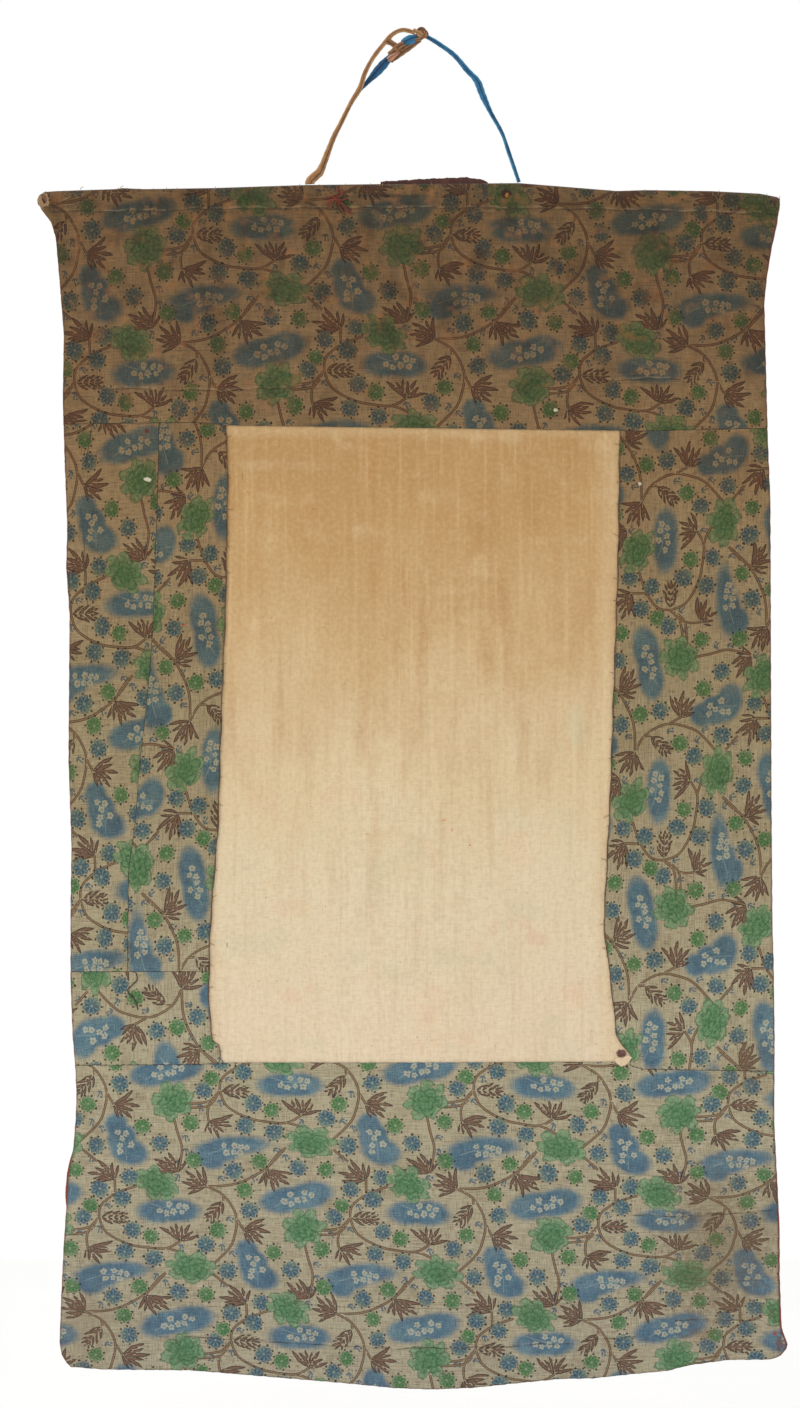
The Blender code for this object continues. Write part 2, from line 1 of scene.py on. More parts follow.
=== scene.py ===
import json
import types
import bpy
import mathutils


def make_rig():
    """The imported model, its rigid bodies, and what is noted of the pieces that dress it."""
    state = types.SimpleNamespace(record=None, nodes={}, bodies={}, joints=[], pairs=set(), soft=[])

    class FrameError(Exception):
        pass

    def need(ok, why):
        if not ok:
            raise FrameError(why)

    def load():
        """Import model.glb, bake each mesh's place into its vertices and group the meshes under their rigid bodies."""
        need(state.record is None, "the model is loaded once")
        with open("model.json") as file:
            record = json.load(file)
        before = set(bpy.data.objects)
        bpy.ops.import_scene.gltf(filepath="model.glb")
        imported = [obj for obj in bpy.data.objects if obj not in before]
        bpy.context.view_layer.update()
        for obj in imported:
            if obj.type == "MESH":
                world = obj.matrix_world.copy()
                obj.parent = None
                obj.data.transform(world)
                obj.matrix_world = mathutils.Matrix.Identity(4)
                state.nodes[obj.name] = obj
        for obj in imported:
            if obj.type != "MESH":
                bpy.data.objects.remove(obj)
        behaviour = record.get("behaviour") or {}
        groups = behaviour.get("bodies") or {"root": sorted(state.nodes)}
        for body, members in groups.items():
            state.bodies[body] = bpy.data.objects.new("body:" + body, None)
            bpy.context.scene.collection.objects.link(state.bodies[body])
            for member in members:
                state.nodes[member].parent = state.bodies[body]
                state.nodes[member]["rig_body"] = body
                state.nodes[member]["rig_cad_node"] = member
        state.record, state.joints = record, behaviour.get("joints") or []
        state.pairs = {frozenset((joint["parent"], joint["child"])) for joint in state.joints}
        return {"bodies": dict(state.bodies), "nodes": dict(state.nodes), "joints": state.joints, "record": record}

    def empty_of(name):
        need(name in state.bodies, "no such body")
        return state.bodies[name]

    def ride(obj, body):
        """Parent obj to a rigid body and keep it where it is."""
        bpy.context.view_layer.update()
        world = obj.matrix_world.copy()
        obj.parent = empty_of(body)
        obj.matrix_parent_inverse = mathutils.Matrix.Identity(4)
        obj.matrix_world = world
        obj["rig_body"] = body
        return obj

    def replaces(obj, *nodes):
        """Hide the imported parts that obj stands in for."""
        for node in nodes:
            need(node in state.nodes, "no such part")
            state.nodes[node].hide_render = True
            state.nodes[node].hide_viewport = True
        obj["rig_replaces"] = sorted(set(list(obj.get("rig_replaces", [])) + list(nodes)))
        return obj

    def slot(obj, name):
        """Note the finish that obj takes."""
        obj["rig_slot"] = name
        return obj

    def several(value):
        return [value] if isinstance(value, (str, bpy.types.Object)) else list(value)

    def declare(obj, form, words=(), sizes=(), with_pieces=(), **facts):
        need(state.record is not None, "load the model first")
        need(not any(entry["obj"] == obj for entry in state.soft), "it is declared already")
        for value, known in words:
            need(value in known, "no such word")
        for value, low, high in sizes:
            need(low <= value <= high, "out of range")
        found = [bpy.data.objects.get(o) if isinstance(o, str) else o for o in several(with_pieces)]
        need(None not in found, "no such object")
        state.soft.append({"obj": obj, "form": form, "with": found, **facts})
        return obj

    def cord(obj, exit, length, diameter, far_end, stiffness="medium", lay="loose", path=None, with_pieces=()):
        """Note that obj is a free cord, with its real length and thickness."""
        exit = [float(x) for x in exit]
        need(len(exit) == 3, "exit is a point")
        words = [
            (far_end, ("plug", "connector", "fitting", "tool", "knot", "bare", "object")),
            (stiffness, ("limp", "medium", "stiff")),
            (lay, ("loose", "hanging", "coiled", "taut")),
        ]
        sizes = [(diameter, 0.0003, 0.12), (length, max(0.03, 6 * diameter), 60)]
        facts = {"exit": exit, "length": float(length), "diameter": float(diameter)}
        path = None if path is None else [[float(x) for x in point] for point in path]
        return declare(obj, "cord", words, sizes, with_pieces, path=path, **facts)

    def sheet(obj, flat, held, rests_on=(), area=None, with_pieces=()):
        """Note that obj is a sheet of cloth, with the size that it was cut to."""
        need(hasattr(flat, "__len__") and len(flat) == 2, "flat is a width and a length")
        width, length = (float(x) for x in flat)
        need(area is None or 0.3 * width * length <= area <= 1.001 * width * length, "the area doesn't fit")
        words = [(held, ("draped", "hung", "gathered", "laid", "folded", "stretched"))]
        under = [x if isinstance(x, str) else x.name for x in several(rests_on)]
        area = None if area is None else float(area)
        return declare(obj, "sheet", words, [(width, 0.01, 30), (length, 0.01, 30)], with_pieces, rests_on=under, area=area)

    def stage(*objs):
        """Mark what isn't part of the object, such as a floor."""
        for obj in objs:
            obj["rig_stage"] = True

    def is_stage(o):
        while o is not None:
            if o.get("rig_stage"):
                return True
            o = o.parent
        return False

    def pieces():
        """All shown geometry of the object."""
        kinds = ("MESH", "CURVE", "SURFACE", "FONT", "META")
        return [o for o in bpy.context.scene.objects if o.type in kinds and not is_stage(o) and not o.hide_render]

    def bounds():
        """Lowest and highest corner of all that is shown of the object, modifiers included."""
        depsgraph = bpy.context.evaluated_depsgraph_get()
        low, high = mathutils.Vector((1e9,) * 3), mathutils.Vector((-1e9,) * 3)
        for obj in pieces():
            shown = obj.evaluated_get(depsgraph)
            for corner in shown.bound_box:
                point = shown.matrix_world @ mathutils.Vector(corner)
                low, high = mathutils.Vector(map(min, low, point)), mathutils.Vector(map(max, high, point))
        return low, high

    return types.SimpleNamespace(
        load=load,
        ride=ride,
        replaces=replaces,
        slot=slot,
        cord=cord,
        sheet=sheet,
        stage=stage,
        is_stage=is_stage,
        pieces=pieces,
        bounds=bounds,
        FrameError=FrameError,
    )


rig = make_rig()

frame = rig.load()

import json
import math

import bpy
import numpy as np

cad_low, cad_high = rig.bounds()

# The camera stands level with the middle of the hanging, straight before its lining side, and far
# enough away that the cloth shows no perspective. One millimetre of cloth is one pixel of the frame.
CAMERA_AWAY = 6.0
FIELD_HEIGHT = 1.408
FIELD_MIDDLE_X, FIELD_MIDDLE_Z = -0.008, -0.666
SENSOR = 36.0

camera_data = bpy.data.cameras.new("camera")
camera_data.sensor_width = SENSOR
camera_data.lens = SENSOR * CAMERA_AWAY / FIELD_HEIGHT
camera = bpy.data.objects.new("camera", camera_data)
camera.location = (FIELD_MIDDLE_X, -CAMERA_AWAY, FIELD_MIDDLE_Z)
camera.rotation_euler = (math.radians(90.0), 0.0, 0.0)
bpy.context.collection.objects.link(camera)
bpy.context.scene.camera = camera

# The hanging loop: a tan strip and a blue strip of cotton, torn narrow and folded lengthwise. They
# rise from under the sleeve and meet in a knot, and the blue one's tail is tucked behind the tan one.
MM = 0.001
TAN_ROUTE = (
    (-98.0, 146.2, 0.0), (-97.5, 142.5, 0.0), (-91.5, 137.0, -0.2), (-86.5, 130.5, -0.4),
    (-75.0, 101.0, -0.6), (-67.0, 85.0, -0.8), (-57.0, 65.0, -1.0), (-48.0, 50.0, -1.2),
    (-43.0, 35.0, -1.0), (-35.0, 20.0, -0.6), (-25.0, 7.0, -0.2), (-15.0, -4.0, 0.0),
    (-4.5, -8.0, 0.0), (6.9, -5.0, 0.0),
)
TAN_WIDTHS = (10.2, 8.6, 6.6, 5.6, 4.8, 4.6, 5.4, 4.8, 4.6, 5.2, 4.8, 4.4)
BLUE_ROUTE = (
    (111.0, 144.2, 0.0), (101.0, 115.0, 0.0), (94.0, 95.0, 0.2), (83.0, 75.0, 0.4),
    (75.0, 58.0, 0.4), (69.0, 43.0, 0.2), (59.0, 32.0, 0.0), (46.0, 17.0, 0.0),
    (29.5, 5.0, 0.0), (20.8, -0.2, 0.0), (16.4, -2.6, 0.0),
)
BLUE_WIDTHS = (3.8, 4.0, 4.4, 3.8, 4.2, 4.4, 6.6, 7.4, 5.8, 5.6, 5.0, 4.8, 4.2)
TAIL_ROUTE = (
    (8.8, 0.6, 0.8), (3.0, 3.6, 1.6), (-12.0, 12.0, 2.6), (-19.0, 20.0, 3.2),
    (-28.0, 30.0, 4.0), (-40.0, 43.0, 4.9), (-48.0, 52.0, 5.2), (-50.5, 57.0, 5.0),
)
TAIL_WIDTHS = (5.0, 8.2, 7.6, 6.0, 9.4, 9.0, 5.6, 3.4, 2.4)
KNOT_CENTRE = (14.0, -4.0, 0.0)


class Varying:
    """A number that varies over a surface: sums on it are written as on any number."""

    def __init__(self, paint, socket):
        self.paint = paint
        self.socket = socket

    def work(self, operation, *others):
        """A Math node on this number, with the others after it."""
        return self.paint.maths(operation, self, *others)

    def __add__(self, other):
        return self.work("ADD", other)

    def __radd__(self, other):
        return self.paint.maths("ADD", other, self)

    def __sub__(self, other):
        return self.work("SUBTRACT", other)

    def __rsub__(self, other):
        return self.paint.maths("SUBTRACT", other, self)

    def __mul__(self, other):
        return self.work("MULTIPLY", other)

    def __rmul__(self, other):
        return self.paint.maths("MULTIPLY", other, self)

    def __truediv__(self, other):
        return self.work("DIVIDE", other)

    def __pow__(self, other):
        return self.work("POWER", other)

    def __abs__(self):
        return self.work("ABSOLUTE")

    def most(self, *others):
        """The greatest of this number and the others."""
        found = self
        for other in others:
            found = found.work("MAXIMUM", other)
        return found


class Paint:
    """A finish: a material, its shader, and the one way of adding nodes to it."""

    def __init__(self, name, **fixed):
        self.material = bpy.data.materials.new(name)
        self.material.use_nodes = True
        self.tree = self.material.node_tree
        self.shader = self.tree.nodes["Principled BSDF"]
        for word, value in fixed.items():
            self.shader.inputs[word.replace("_", " ")].default_value = value
        where = self.node("ShaderNodeTexCoord", {}, {}, "Object")
        self.place = self.vector("SCALE", where, {"Scale": 1000.0})

    def node(self, kind, settings, values, out=0):
        made = self.tree.nodes.new(kind)
        for word, setting in settings.items():
            if word == "stops":
                ramp = made.color_ramp
                while len(ramp.elements) < len(setting):
                    ramp.elements.new(0.5)
                for element, (position, colour) in zip(ramp.elements, setting):
                    element.position = position
                    element.color = (*colour, 1.0)
            else:
                setattr(made, word, setting)
        for name, value in values.items():
            socket = made.inputs[name]
            if isinstance(value, Varying):
                self.tree.links.new(value.socket, socket)
            elif isinstance(value, tuple) and socket.type == "RGBA":
                socket.default_value = (*value, 1.0)
            else:
                socket.default_value = value
        return Varying(self, made.outputs[out])

    def maths(self, operation, *values):
        return self.node("ShaderNodeMath", {"operation": operation}, dict(enumerate(values)))

    def vector(self, operation, first, more):
        return self.node("ShaderNodeVectorMath", {"operation": operation}, {0: first, **more})

    def read(self, name):
        return self.node("ShaderNodeAttribute", {"attribute_name": name}, {}, "Vector")

    def split(self, vector):
        parts = self.node("ShaderNodeSeparateXYZ", {}, {0: vector})
        return [Varying(self, socket) for socket in parts.socket.node.outputs]

    def noise(self, size, detail, where=None, out="Fac"):
        """Noise in grains of one size, or of three sizes along the three axes."""
        where = where or self.place
        if isinstance(size, tuple):
            where = self.vector("MULTIPLY", where, {1: tuple(1.0 / side for side in size)})
            size = 1.0
        values = {"Vector": where, "Scale": 1.0 / size, "Detail": detail}
        return self.node("ShaderNodeTexNoise", {}, values, out)

    def centred(self, noise):
        """The three parts of coloured noise, moved from round a half to round nought."""
        return self.split(self.vector("SUBTRACT", noise, {1: (0.5, 0.5, 0.5)}))

    def rise(self, value, low, high):
        """0 below low, 1 above high, and a soft step between; falls where low is above high."""
        settings = {"interpolation_type": "SMOOTHSTEP"}
        return self.node("ShaderNodeMapRange", settings, {0: value, 1: low, 2: high})

    def mix(self, share, first, second, how="MIX"):
        settings = {"data_type": "RGBA", "blend_type": how}
        return self.node("ShaderNodeMix", settings, {0: share, 6: first, 7: second}, 2)

    def ramp(self, value, *stops):
        return self.node("ShaderNodeValToRGB", {"stops": stops}, {0: value}, "Color")

    def coat(self, share, *over):
        """Lay a colour over the finish so far: a varying one, or a screen colour's three values."""
        self.colour = self.mix(share, self.colour, over[0] if len(over) == 1 else dye(*over))

    def join(self, **ends):
        """Let values that vary feed the shader."""
        for word, value in ends.items():
            self.tree.links.new(value.socket, self.shader.inputs[word.replace("_", " ")])

    def finish(self, height, **ends):
        """Join the colour and the relief, in millimetres, to the shader."""
        bump = self.node("ShaderNodeBump", {}, {"Height": height, "Distance": MM}, "Normal")
        self.join(Base_Color=self.colour, Normal=bump, **ends)
        return self.material


def dye(red, green, blue):
    """A screen colour, 0 to 255, as linear light."""
    parts = []
    for part in (red, green, blue):
        share = part / 255.0
        parts.append(share / 12.92 if share <= 0.04045 else ((share + 0.055) / 1.055) ** 2.4)
    return tuple(parts)


def spot(x, drop, y):
    """A place on the hanging, in metres."""
    return (x * MM, y * MM, -drop * MM)


def mark_points(mesh, name, values):
    """Keep a vector at each point of a mesh."""
    kept = mesh.attributes.new(name, "FLOAT_VECTOR", "POINT")
    kept.data.foreach_set("vector", np.asarray(values, dtype=np.float32).ravel())


def make_piece(name, points, faces, material, slot, runs=None):
    """A mesh piece that hangs with the rest. Its runs, if any, tell where each point lies on a strip."""
    mesh = bpy.data.meshes.new(name)
    mesh.from_pydata(points, [], faces)
    mesh.materials.append(material)
    mesh.shade_smooth()
    if runs:
        mark_points(mesh, "run", runs)
    made = bpy.data.objects.new(name, mesh)
    bpy.context.collection.objects.link(made)
    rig.ride(made, "root")
    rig.slot(made, slot)
    return made


def tube_faces(rings, sides, first=0, turned=False):
    """The faces round rings of points, and then the two ends."""
    faces = []
    last = first + (rings - 1) * sides
    for low in range(first, last, sides):
        for side in range(sides):
            after = (side + 1) % sides
            rest = (low + sides + side, low + sides + after, low + after)
            faces.append((low + side, *(rest[::-1] if turned else rest)))
    return faces + [tuple(range(first, first + sides)), tuple(range(last, last + sides))[::-1]]


def curve_through(points, spacing):
    """Even points on a smooth curve through the route's own points."""
    padded = [points[0]] + list(points) + [points[-1]]
    found = []
    for a, b, c, d in zip(padded, padded[1:], padded[2:], padded[3:]):
        steps = max(1, round(math.dist(b, c) / spacing))
        for step in range(steps):
            t = step / steps
            found.append(tuple(
                0.5 * (2.0 * q + (r - p) * t + (2.0 * p - 5.0 * q + 4.0 * r - s) * t * t
                       + (3.0 * q - p - 3.0 * r + s) * t * t * t)
                for p, q, r, s in zip(a, b, c, d)))
    found.append(points[-1])
    return found


def along(table, share):
    """A value on an even table, part of the way along it."""
    return float(np.interp(share * (len(table) - 1), range(len(table)), table))


def fold_strip(name, route, widths, thick, turn, ripple, material, slot):
    """A strip of cloth folded lengthwise: a flat section with a crease, which turns on its way."""
    line = np.array(curve_through(route, 1.5))
    count = len(line)
    ahead = np.gradient(line, axis=0)
    ahead /= np.linalg.norm(ahead, axis=1)[:, None]
    reach = np.concatenate([[0.0], np.cumsum(np.linalg.norm(np.diff(line, axis=0), axis=1))])
    sides = 16
    points, runs = [], []
    for step in range(count):
        share = step / (count - 1)
        wide = along(widths, share) * (1.0 + ripple * math.sin(0.9 * reach[step]) * 0.5)
        twist = turn * math.sin(5.0 * share + 0.6) + 0.12 * math.sin(0.31 * reach[step])
        aside = np.array([ahead[step][1], -ahead[step][0], 0.0])
        aside /= np.linalg.norm(aside)
        out = np.array([0.0, 0.0, -1.0])
        flat = aside * math.cos(twist) + out * math.sin(twist)
        proud = out * math.cos(twist) - aside * math.sin(twist)
        crease = 0.25 * math.sin(0.07 * reach[step] + 1.0)
        for side in range(sides):
            angle = 2.0 * math.pi * side / sides
            across = math.copysign(abs(math.cos(angle)) ** 0.8, math.cos(angle))
            lift = math.copysign(abs(math.sin(angle)) ** 0.7, math.sin(angle))
            fold = 1.0 - 0.75 * math.exp(-((across - crease) / 0.16) ** 2)
            fold += 0.35 * math.exp(-((across - crease - 0.45) / 0.25) ** 2)
            x, drop, y = line[step] + flat * across * wide / 2.0 + proud * lift * fold * thick / 2.0
            points.append(spot(x, drop, y))
            runs.append((reach[step], across, wide))
    made = make_piece(name, points, tube_faces(count, sides), material, slot, runs)
    return made, [spot(*place) for place in line], reach[-1] * MM


def strip_finish(name, dark, middle, light):
    """Torn cotton: threads along the strip, with painted shade in its creases, and pale where the fold is rubbed."""
    paint = Paint(name, Roughness=0.88, Sheen_Weight=0.12)
    run = paint.read("run")
    _, across, _ = paint.split(run)
    threads = paint.noise((9.0, 0.09, 4.0), 3.0, run)
    stains = paint.noise(9.0, 3.0)
    rub = paint.rise(abs(across), 0.45, 1.0)
    # Painted shade: the colour is darkened along the crease.
    crease = paint.rise(abs(across + 0.15), 0.22, 0.02)
    tone = threads * 0.5 + stains * 0.45 + rub * 0.22 - crease * 0.3
    paint.colour = paint.ramp(tone, (0.22, dark), (0.5, middle), (0.82, light))
    paint.finish(threads * 0.35 + stains * 0.2 - crease * 0.3)
    return paint


tan_paint = strip_finish("tan_strip", dye(84, 58, 34), dye(150, 108, 66), dye(184, 144, 98))
blue_paint = strip_finish("blue_strip", dye(12, 42, 64), dye(28, 92, 130), dye(74, 142, 174))

# The tail keeps a tan lining along its lower edge near the knot, which ends in a faded salmon tip
tail_paint = strip_finish("blue_tail", dye(10, 36, 58), dye(20, 76, 114), dye(58, 120, 154))
tail_run, tail_across, _ = tail_paint.split(tail_paint.read("run"))
tail_wear = tail_paint.noise(2.4, 3.0)
tail_tan = tail_paint.ramp(tail_wear, (0.3, dye(104, 66, 36)), (0.7, dye(186, 134, 82)))
tail_band = tail_paint.rise(tail_across + tail_wear * 0.5, 0.1, 0.3) * tail_paint.rise(tail_run, 36.0, 34.5)
tail_wrapped = tail_paint.rise(abs(tail_run - 25.0 + tail_wear * 4.0), 5.0, 3.6)
tail_tip = tail_paint.rise(abs(tail_run - 33.0), 3.4, 2.4) * tail_paint.rise(tail_across, -0.1, 0.1)
tail_paint.coat(tail_band.most(tail_wrapped), tail_tan)
tail_paint.coat(tail_tip, 206, 138, 112)
# Painted shade: the tail's far end, where it passes behind the tan strip, is darkened almost to black.
tail_paint.coat(tail_paint.rise(tail_run, 74.0, 84.0) * 0.7, 22, 26, 34)
tail_paint.join(Base_Color=tail_paint.colour)


def wrapped_lump(name, centre, half, bands, skew, material, slot):
    """Cloth drawn tight round itself: a small lump with the ridges of its turns."""
    x, drop, y = centre
    rings, sides = 22, 40
    points, runs = [], []
    for ring in range(rings + 1):
        polar = math.pi * ring / rings
        for side in range(sides):
            angle = 2.0 * math.pi * side / sides
            turn = bands * (angle / (2.0 * math.pi) + skew * polar / math.pi)
            swell = 0.86 + 0.17 * abs(math.sin(math.pi * turn)) ** 0.6
            swell += 0.04 * math.sin(3.0 * angle + 5.0 * polar)
            px = x + half[0] * swell * math.cos(polar)
            pd = drop + half[1] * swell * math.sin(polar) * math.cos(angle)
            py = y + half[2] * swell * math.sin(polar) * math.sin(angle)
            points.append(spot(px, pd, py))
            runs.append((turn * 8.0, swell * 4.0 - 4.0, 5.0))
    faces = tube_faces(rings + 1, sides, turned=True)[:-2]
    return make_piece(name, points, faces, material, slot, runs)


# The brown paint serves the brown wrap, and is also painted shade on the tan turn under the knot.
brown_and_shade_paint = strip_finish("brown_wrap", dye(60, 38, 24), dye(120, 82, 50), dye(164, 120, 78))
faded_paint = strip_finish("faded_strip", dye(116, 78, 58), dye(172, 122, 98), dye(194, 150, 124))
tan_strap, tan_path, tan_length = fold_strip(
    "tan_strap", TAN_ROUTE, TAN_WIDTHS, 2.2, 0.5, 0.06, tan_paint.material, "tan_cloth")
blue_strap, blue_path, blue_length = fold_strip(
    "blue_strap", BLUE_ROUTE, BLUE_WIDTHS, 2.0, 0.45, 0.08, blue_paint.material, "blue_cloth")
tail_strap, tail_path, tail_length = fold_strip(
    "tail_strap", TAIL_ROUTE, TAIL_WIDTHS, 1.9, 0.18, 0.05, tail_paint.material, "blue_cloth")
knot = wrapped_lump("knot", KNOT_CENTRE, (6.4, 4.8, 4.4), 3.0, 1.4, tan_paint.material, "tan_cloth")
# The knot's turns, and the short ends, folds and wrap that hold the strips below it:
# name, route, widths, thickness, cloth
LOOP_PARTS = (
    ("knot_end", ((9.5, -7.5, -1.6), (12.0, -9.0, -2.6), (14.6, -9.2, -2.6), (17.0, -7.4, -2.0)),
     (2.6, 3.4, 3.4, 2.6), 1.6, brown_and_shade_paint, "tan_cloth"),
    ("knot_turn", ((5.0, -7.6, -3.0), (10.0, -5.0, -5.0), (15.0, -1.6, -4.6), (19.0, -0.6, -1.5)),
     (4.2, 4.4, 4.4, 3.6), 1.6, tan_paint, "tan_cloth"),
    # knot_under is a turn of the tan strip; its darker brown paint is painted shade under the knot.
    ("knot_under", ((17.6, -5.6, -2.6), (16.0, -1.6, -4.8), (11.6, 1.8, -4.4), (7.0, 2.6, -2.2)),
     (3.4, 3.8, 3.6, 3.2), 1.6, brown_and_shade_paint, "tan_cloth"),
    ("blue_fold", ((11.0, -1.6, -0.6), (5.6, 0.8, -0.8), (-1.0, 3.0, -0.6), (-6.4, 5.4, -0.2)),
     (5.4, 9.6, 10.0, 5.0), 1.6, blue_paint, "blue_cloth"),
    ("lower_band", ((12.6, 2.2, -0.6), (3.0, 9.0, -1.4), (-7.0, 15.4, -1.4), (-17.6, 23.0, 0.0)),
     (3.2, 5.0, 6.2, 5.0), 1.7, brown_and_shade_paint, "tan_cloth"),
    ("faded_tip", ((-9.6, 15.0, -2.6), (-13.2, 17.4, -3.0), (-17.0, 20.0, -2.8), (-20.4, 22.0, -1.8)),
     (2.6, 5.0, 5.8, 4.6), 1.5, faded_paint, "tan_cloth"),
    ("wrap_turn", ((-21.0, 2.6, -1.6), (-15.5, 6.0, -2.4), (-11.0, 9.6, -2.8), (-6.4, 14.6, -2.8)),
     (7.6, 5.6, 6.6, 5.6), 1.6, brown_and_shade_paint, "brown_cloth"),
    ("wrap_cross", ((-18.4, 17.2, -0.4), (-13.6, 12.6, -2.2), (-9.0, 8.4, -3.6), (-3.6, 5.4, -2.4)),
     (6.6, 6.4, 6.6, 5.0), 1.6, brown_and_shade_paint, "brown_cloth"),
)
loop_parts = {}
for name, route, widths, thick, cloth, cloth_slot in LOOP_PARTS:
    loop_parts[name] = fold_strip(name, route, widths, thick, 0.2, 0.1, cloth.material, cloth_slot)[0]
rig.replaces(tan_strap, "strap_tan")
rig.replaces(blue_strap, "strap_blue")
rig.replaces(tail_strap, "strap_tail")
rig.replaces(knot, "loop_knot")
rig.replaces(loop_parts["wrap_turn"], "loop_wrap")
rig.cord(tan_strap, exit=tan_path[0], length=tan_length, diameter=0.006, far_end="knot",
        stiffness="limp", lay="taut", path=tan_path,
        with_pieces=[knot] + [loop_parts[name] for name in ("knot_end", "knot_turn", "knot_under")])
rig.cord(blue_strap, exit=blue_path[0], length=blue_length, diameter=0.005, far_end="knot",
        stiffness="limp", lay="taut", path=blue_path)
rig.cord(tail_strap, exit=tail_path[0], length=tail_length, diameter=0.006, far_end="bare",
        stiffness="limp", lay="taut", path=tail_path,
        with_pieces=[loop_parts[name] for name in
                     ("blue_fold", "lower_band", "faded_tip", "wrap_turn", "wrap_cross")])

# The batten: a whittled stick that keeps the top edge straight. It is pushed through the sleeve, and
# only its ends can be seen, so its own solid stays and is given bare, knife-marked wood.
wood = Paint("whittled_wood", Roughness=0.72)
grain = wood.noise((60.0, 1.4, 1.4), 4.0)
cuts = wood.noise((24.0, 6.0, 6.0), 1.0)
wood.colour = wood.ramp(grain, (0.3, dye(70, 44, 26)), (0.55, dye(128, 90, 56)), (0.75, dye(160, 120, 80)))
wood.finish(grain * 0.3 + cuts * 0.8, Roughness=0.6 + grain * 0.25)
frame["nodes"]["batten"].data.materials.clear()
frame["nodes"]["batten"].data.materials.append(wood.material)

# The painted canvas: cotton sized with glue and chalk, stretched between lining and mount. Its bare
# back is stained by smoke and damp from the top, and its lower corners are turned out at the seams.
CANVAS_LEFT, CANVAS_RIGHT = -208.0, 234.0
CANVAS_TOP, CANVAS_BOTTOM = 377.0, 1035.0
CANVAS_SLOPE, CANVAS_MARGIN = 8.0, 2.0
GAP = 0.3
CANVAS_THICK = 1.0
CANVAS_WEB = 0.9
PLAIN_CELL = 5.0
ROUNDED = 1.3
FOLDS = (
    (-290, -325, 95, 0.6, -3.8),
    (-140, -175, 100, -1, 3.4),
    (30, -5, 120, 0.8, -4.2),
    (190, 205, 95, -0.8, 3),
    (325, 345, 95, 0.8, -4),
)
FOLDS_TOP, FOLDS_BOTTOM = 175.0, 1350.0


def smooth(value):
    """An even step from 0 to 1."""
    value = np.clip(value, 0.0, 1.0)
    return value * value * (3.0 - 2.0 * value)


def hang(x, drop):
    """How far the cloth's middle lies behind the hanging's plane: the soft folds."""
    down = smooth((drop - FOLDS_TOP) / (FOLDS_BOTTOM - FOLDS_TOP))
    total = 0.0
    for x_top, x_bottom, half_width, depth_top, depth_bottom in FOLDS:
        centre = x_top + (x_bottom - x_top) * down
        depth = depth_top + (depth_bottom - depth_top) * down
        total = total + depth * np.exp(-((x - centre) / half_width) ** 2)
    slack = smooth((drop - 185.0) / 80.0)
    total = total + slack * 0.45 * np.sin(0.034 * x + 0.011 * drop) * np.sin(0.021 * drop + 0.006 * x)
    return total + slack * 0.25 * np.sin(0.083 * x - 0.017 * drop + 1.7)


def canvas_lift(x, drop):
    """How far the outer cloths stand off where the canvas lies between them."""
    aside = np.maximum(np.maximum(CANVAS_LEFT - x, x - CANVAS_RIGHT), 0.0)
    above = np.maximum(np.maximum(CANVAS_TOP - drop, drop - CANVAS_BOTTOM), 0.0)
    beyond = np.hypot(aside, above) - CANVAS_MARGIN
    return 0.5 * (CANVAS_THICK + GAP) * (1.0 - smooth(beyond / CANVAS_SLOPE))


def line_at(value):
    """A straight edge at one value."""
    return lambda place: np.full_like(np.asarray(place, dtype=float), value)


def edge_along(table, shift=0.0, waver=0.0):
    """An edge along one of the tables, moved aside by a shift, and wavering as cut cloth does."""
    places, values = zip(*table)

    def read(place):
        place = np.asarray(place, dtype=float)
        uneven = np.sin(0.41 * place + 0.7) + 0.7 * np.sin(0.93 * place) + 0.5 * np.sin(1.57 * place)
        return np.interp(place, places, values) + shift + waver * uneven
    return read


def stops(length, cell):
    """Shares of a length: a few close to each end, where the cloth is rounded, and the rest even."""
    inner = np.linspace(ROUNDED, length - ROUNDED, max(3, round((length - 2.0 * ROUNDED) / cell) + 1))
    return np.concatenate([[0.0, 0.5], inner, [length - 0.5, length]]) / length


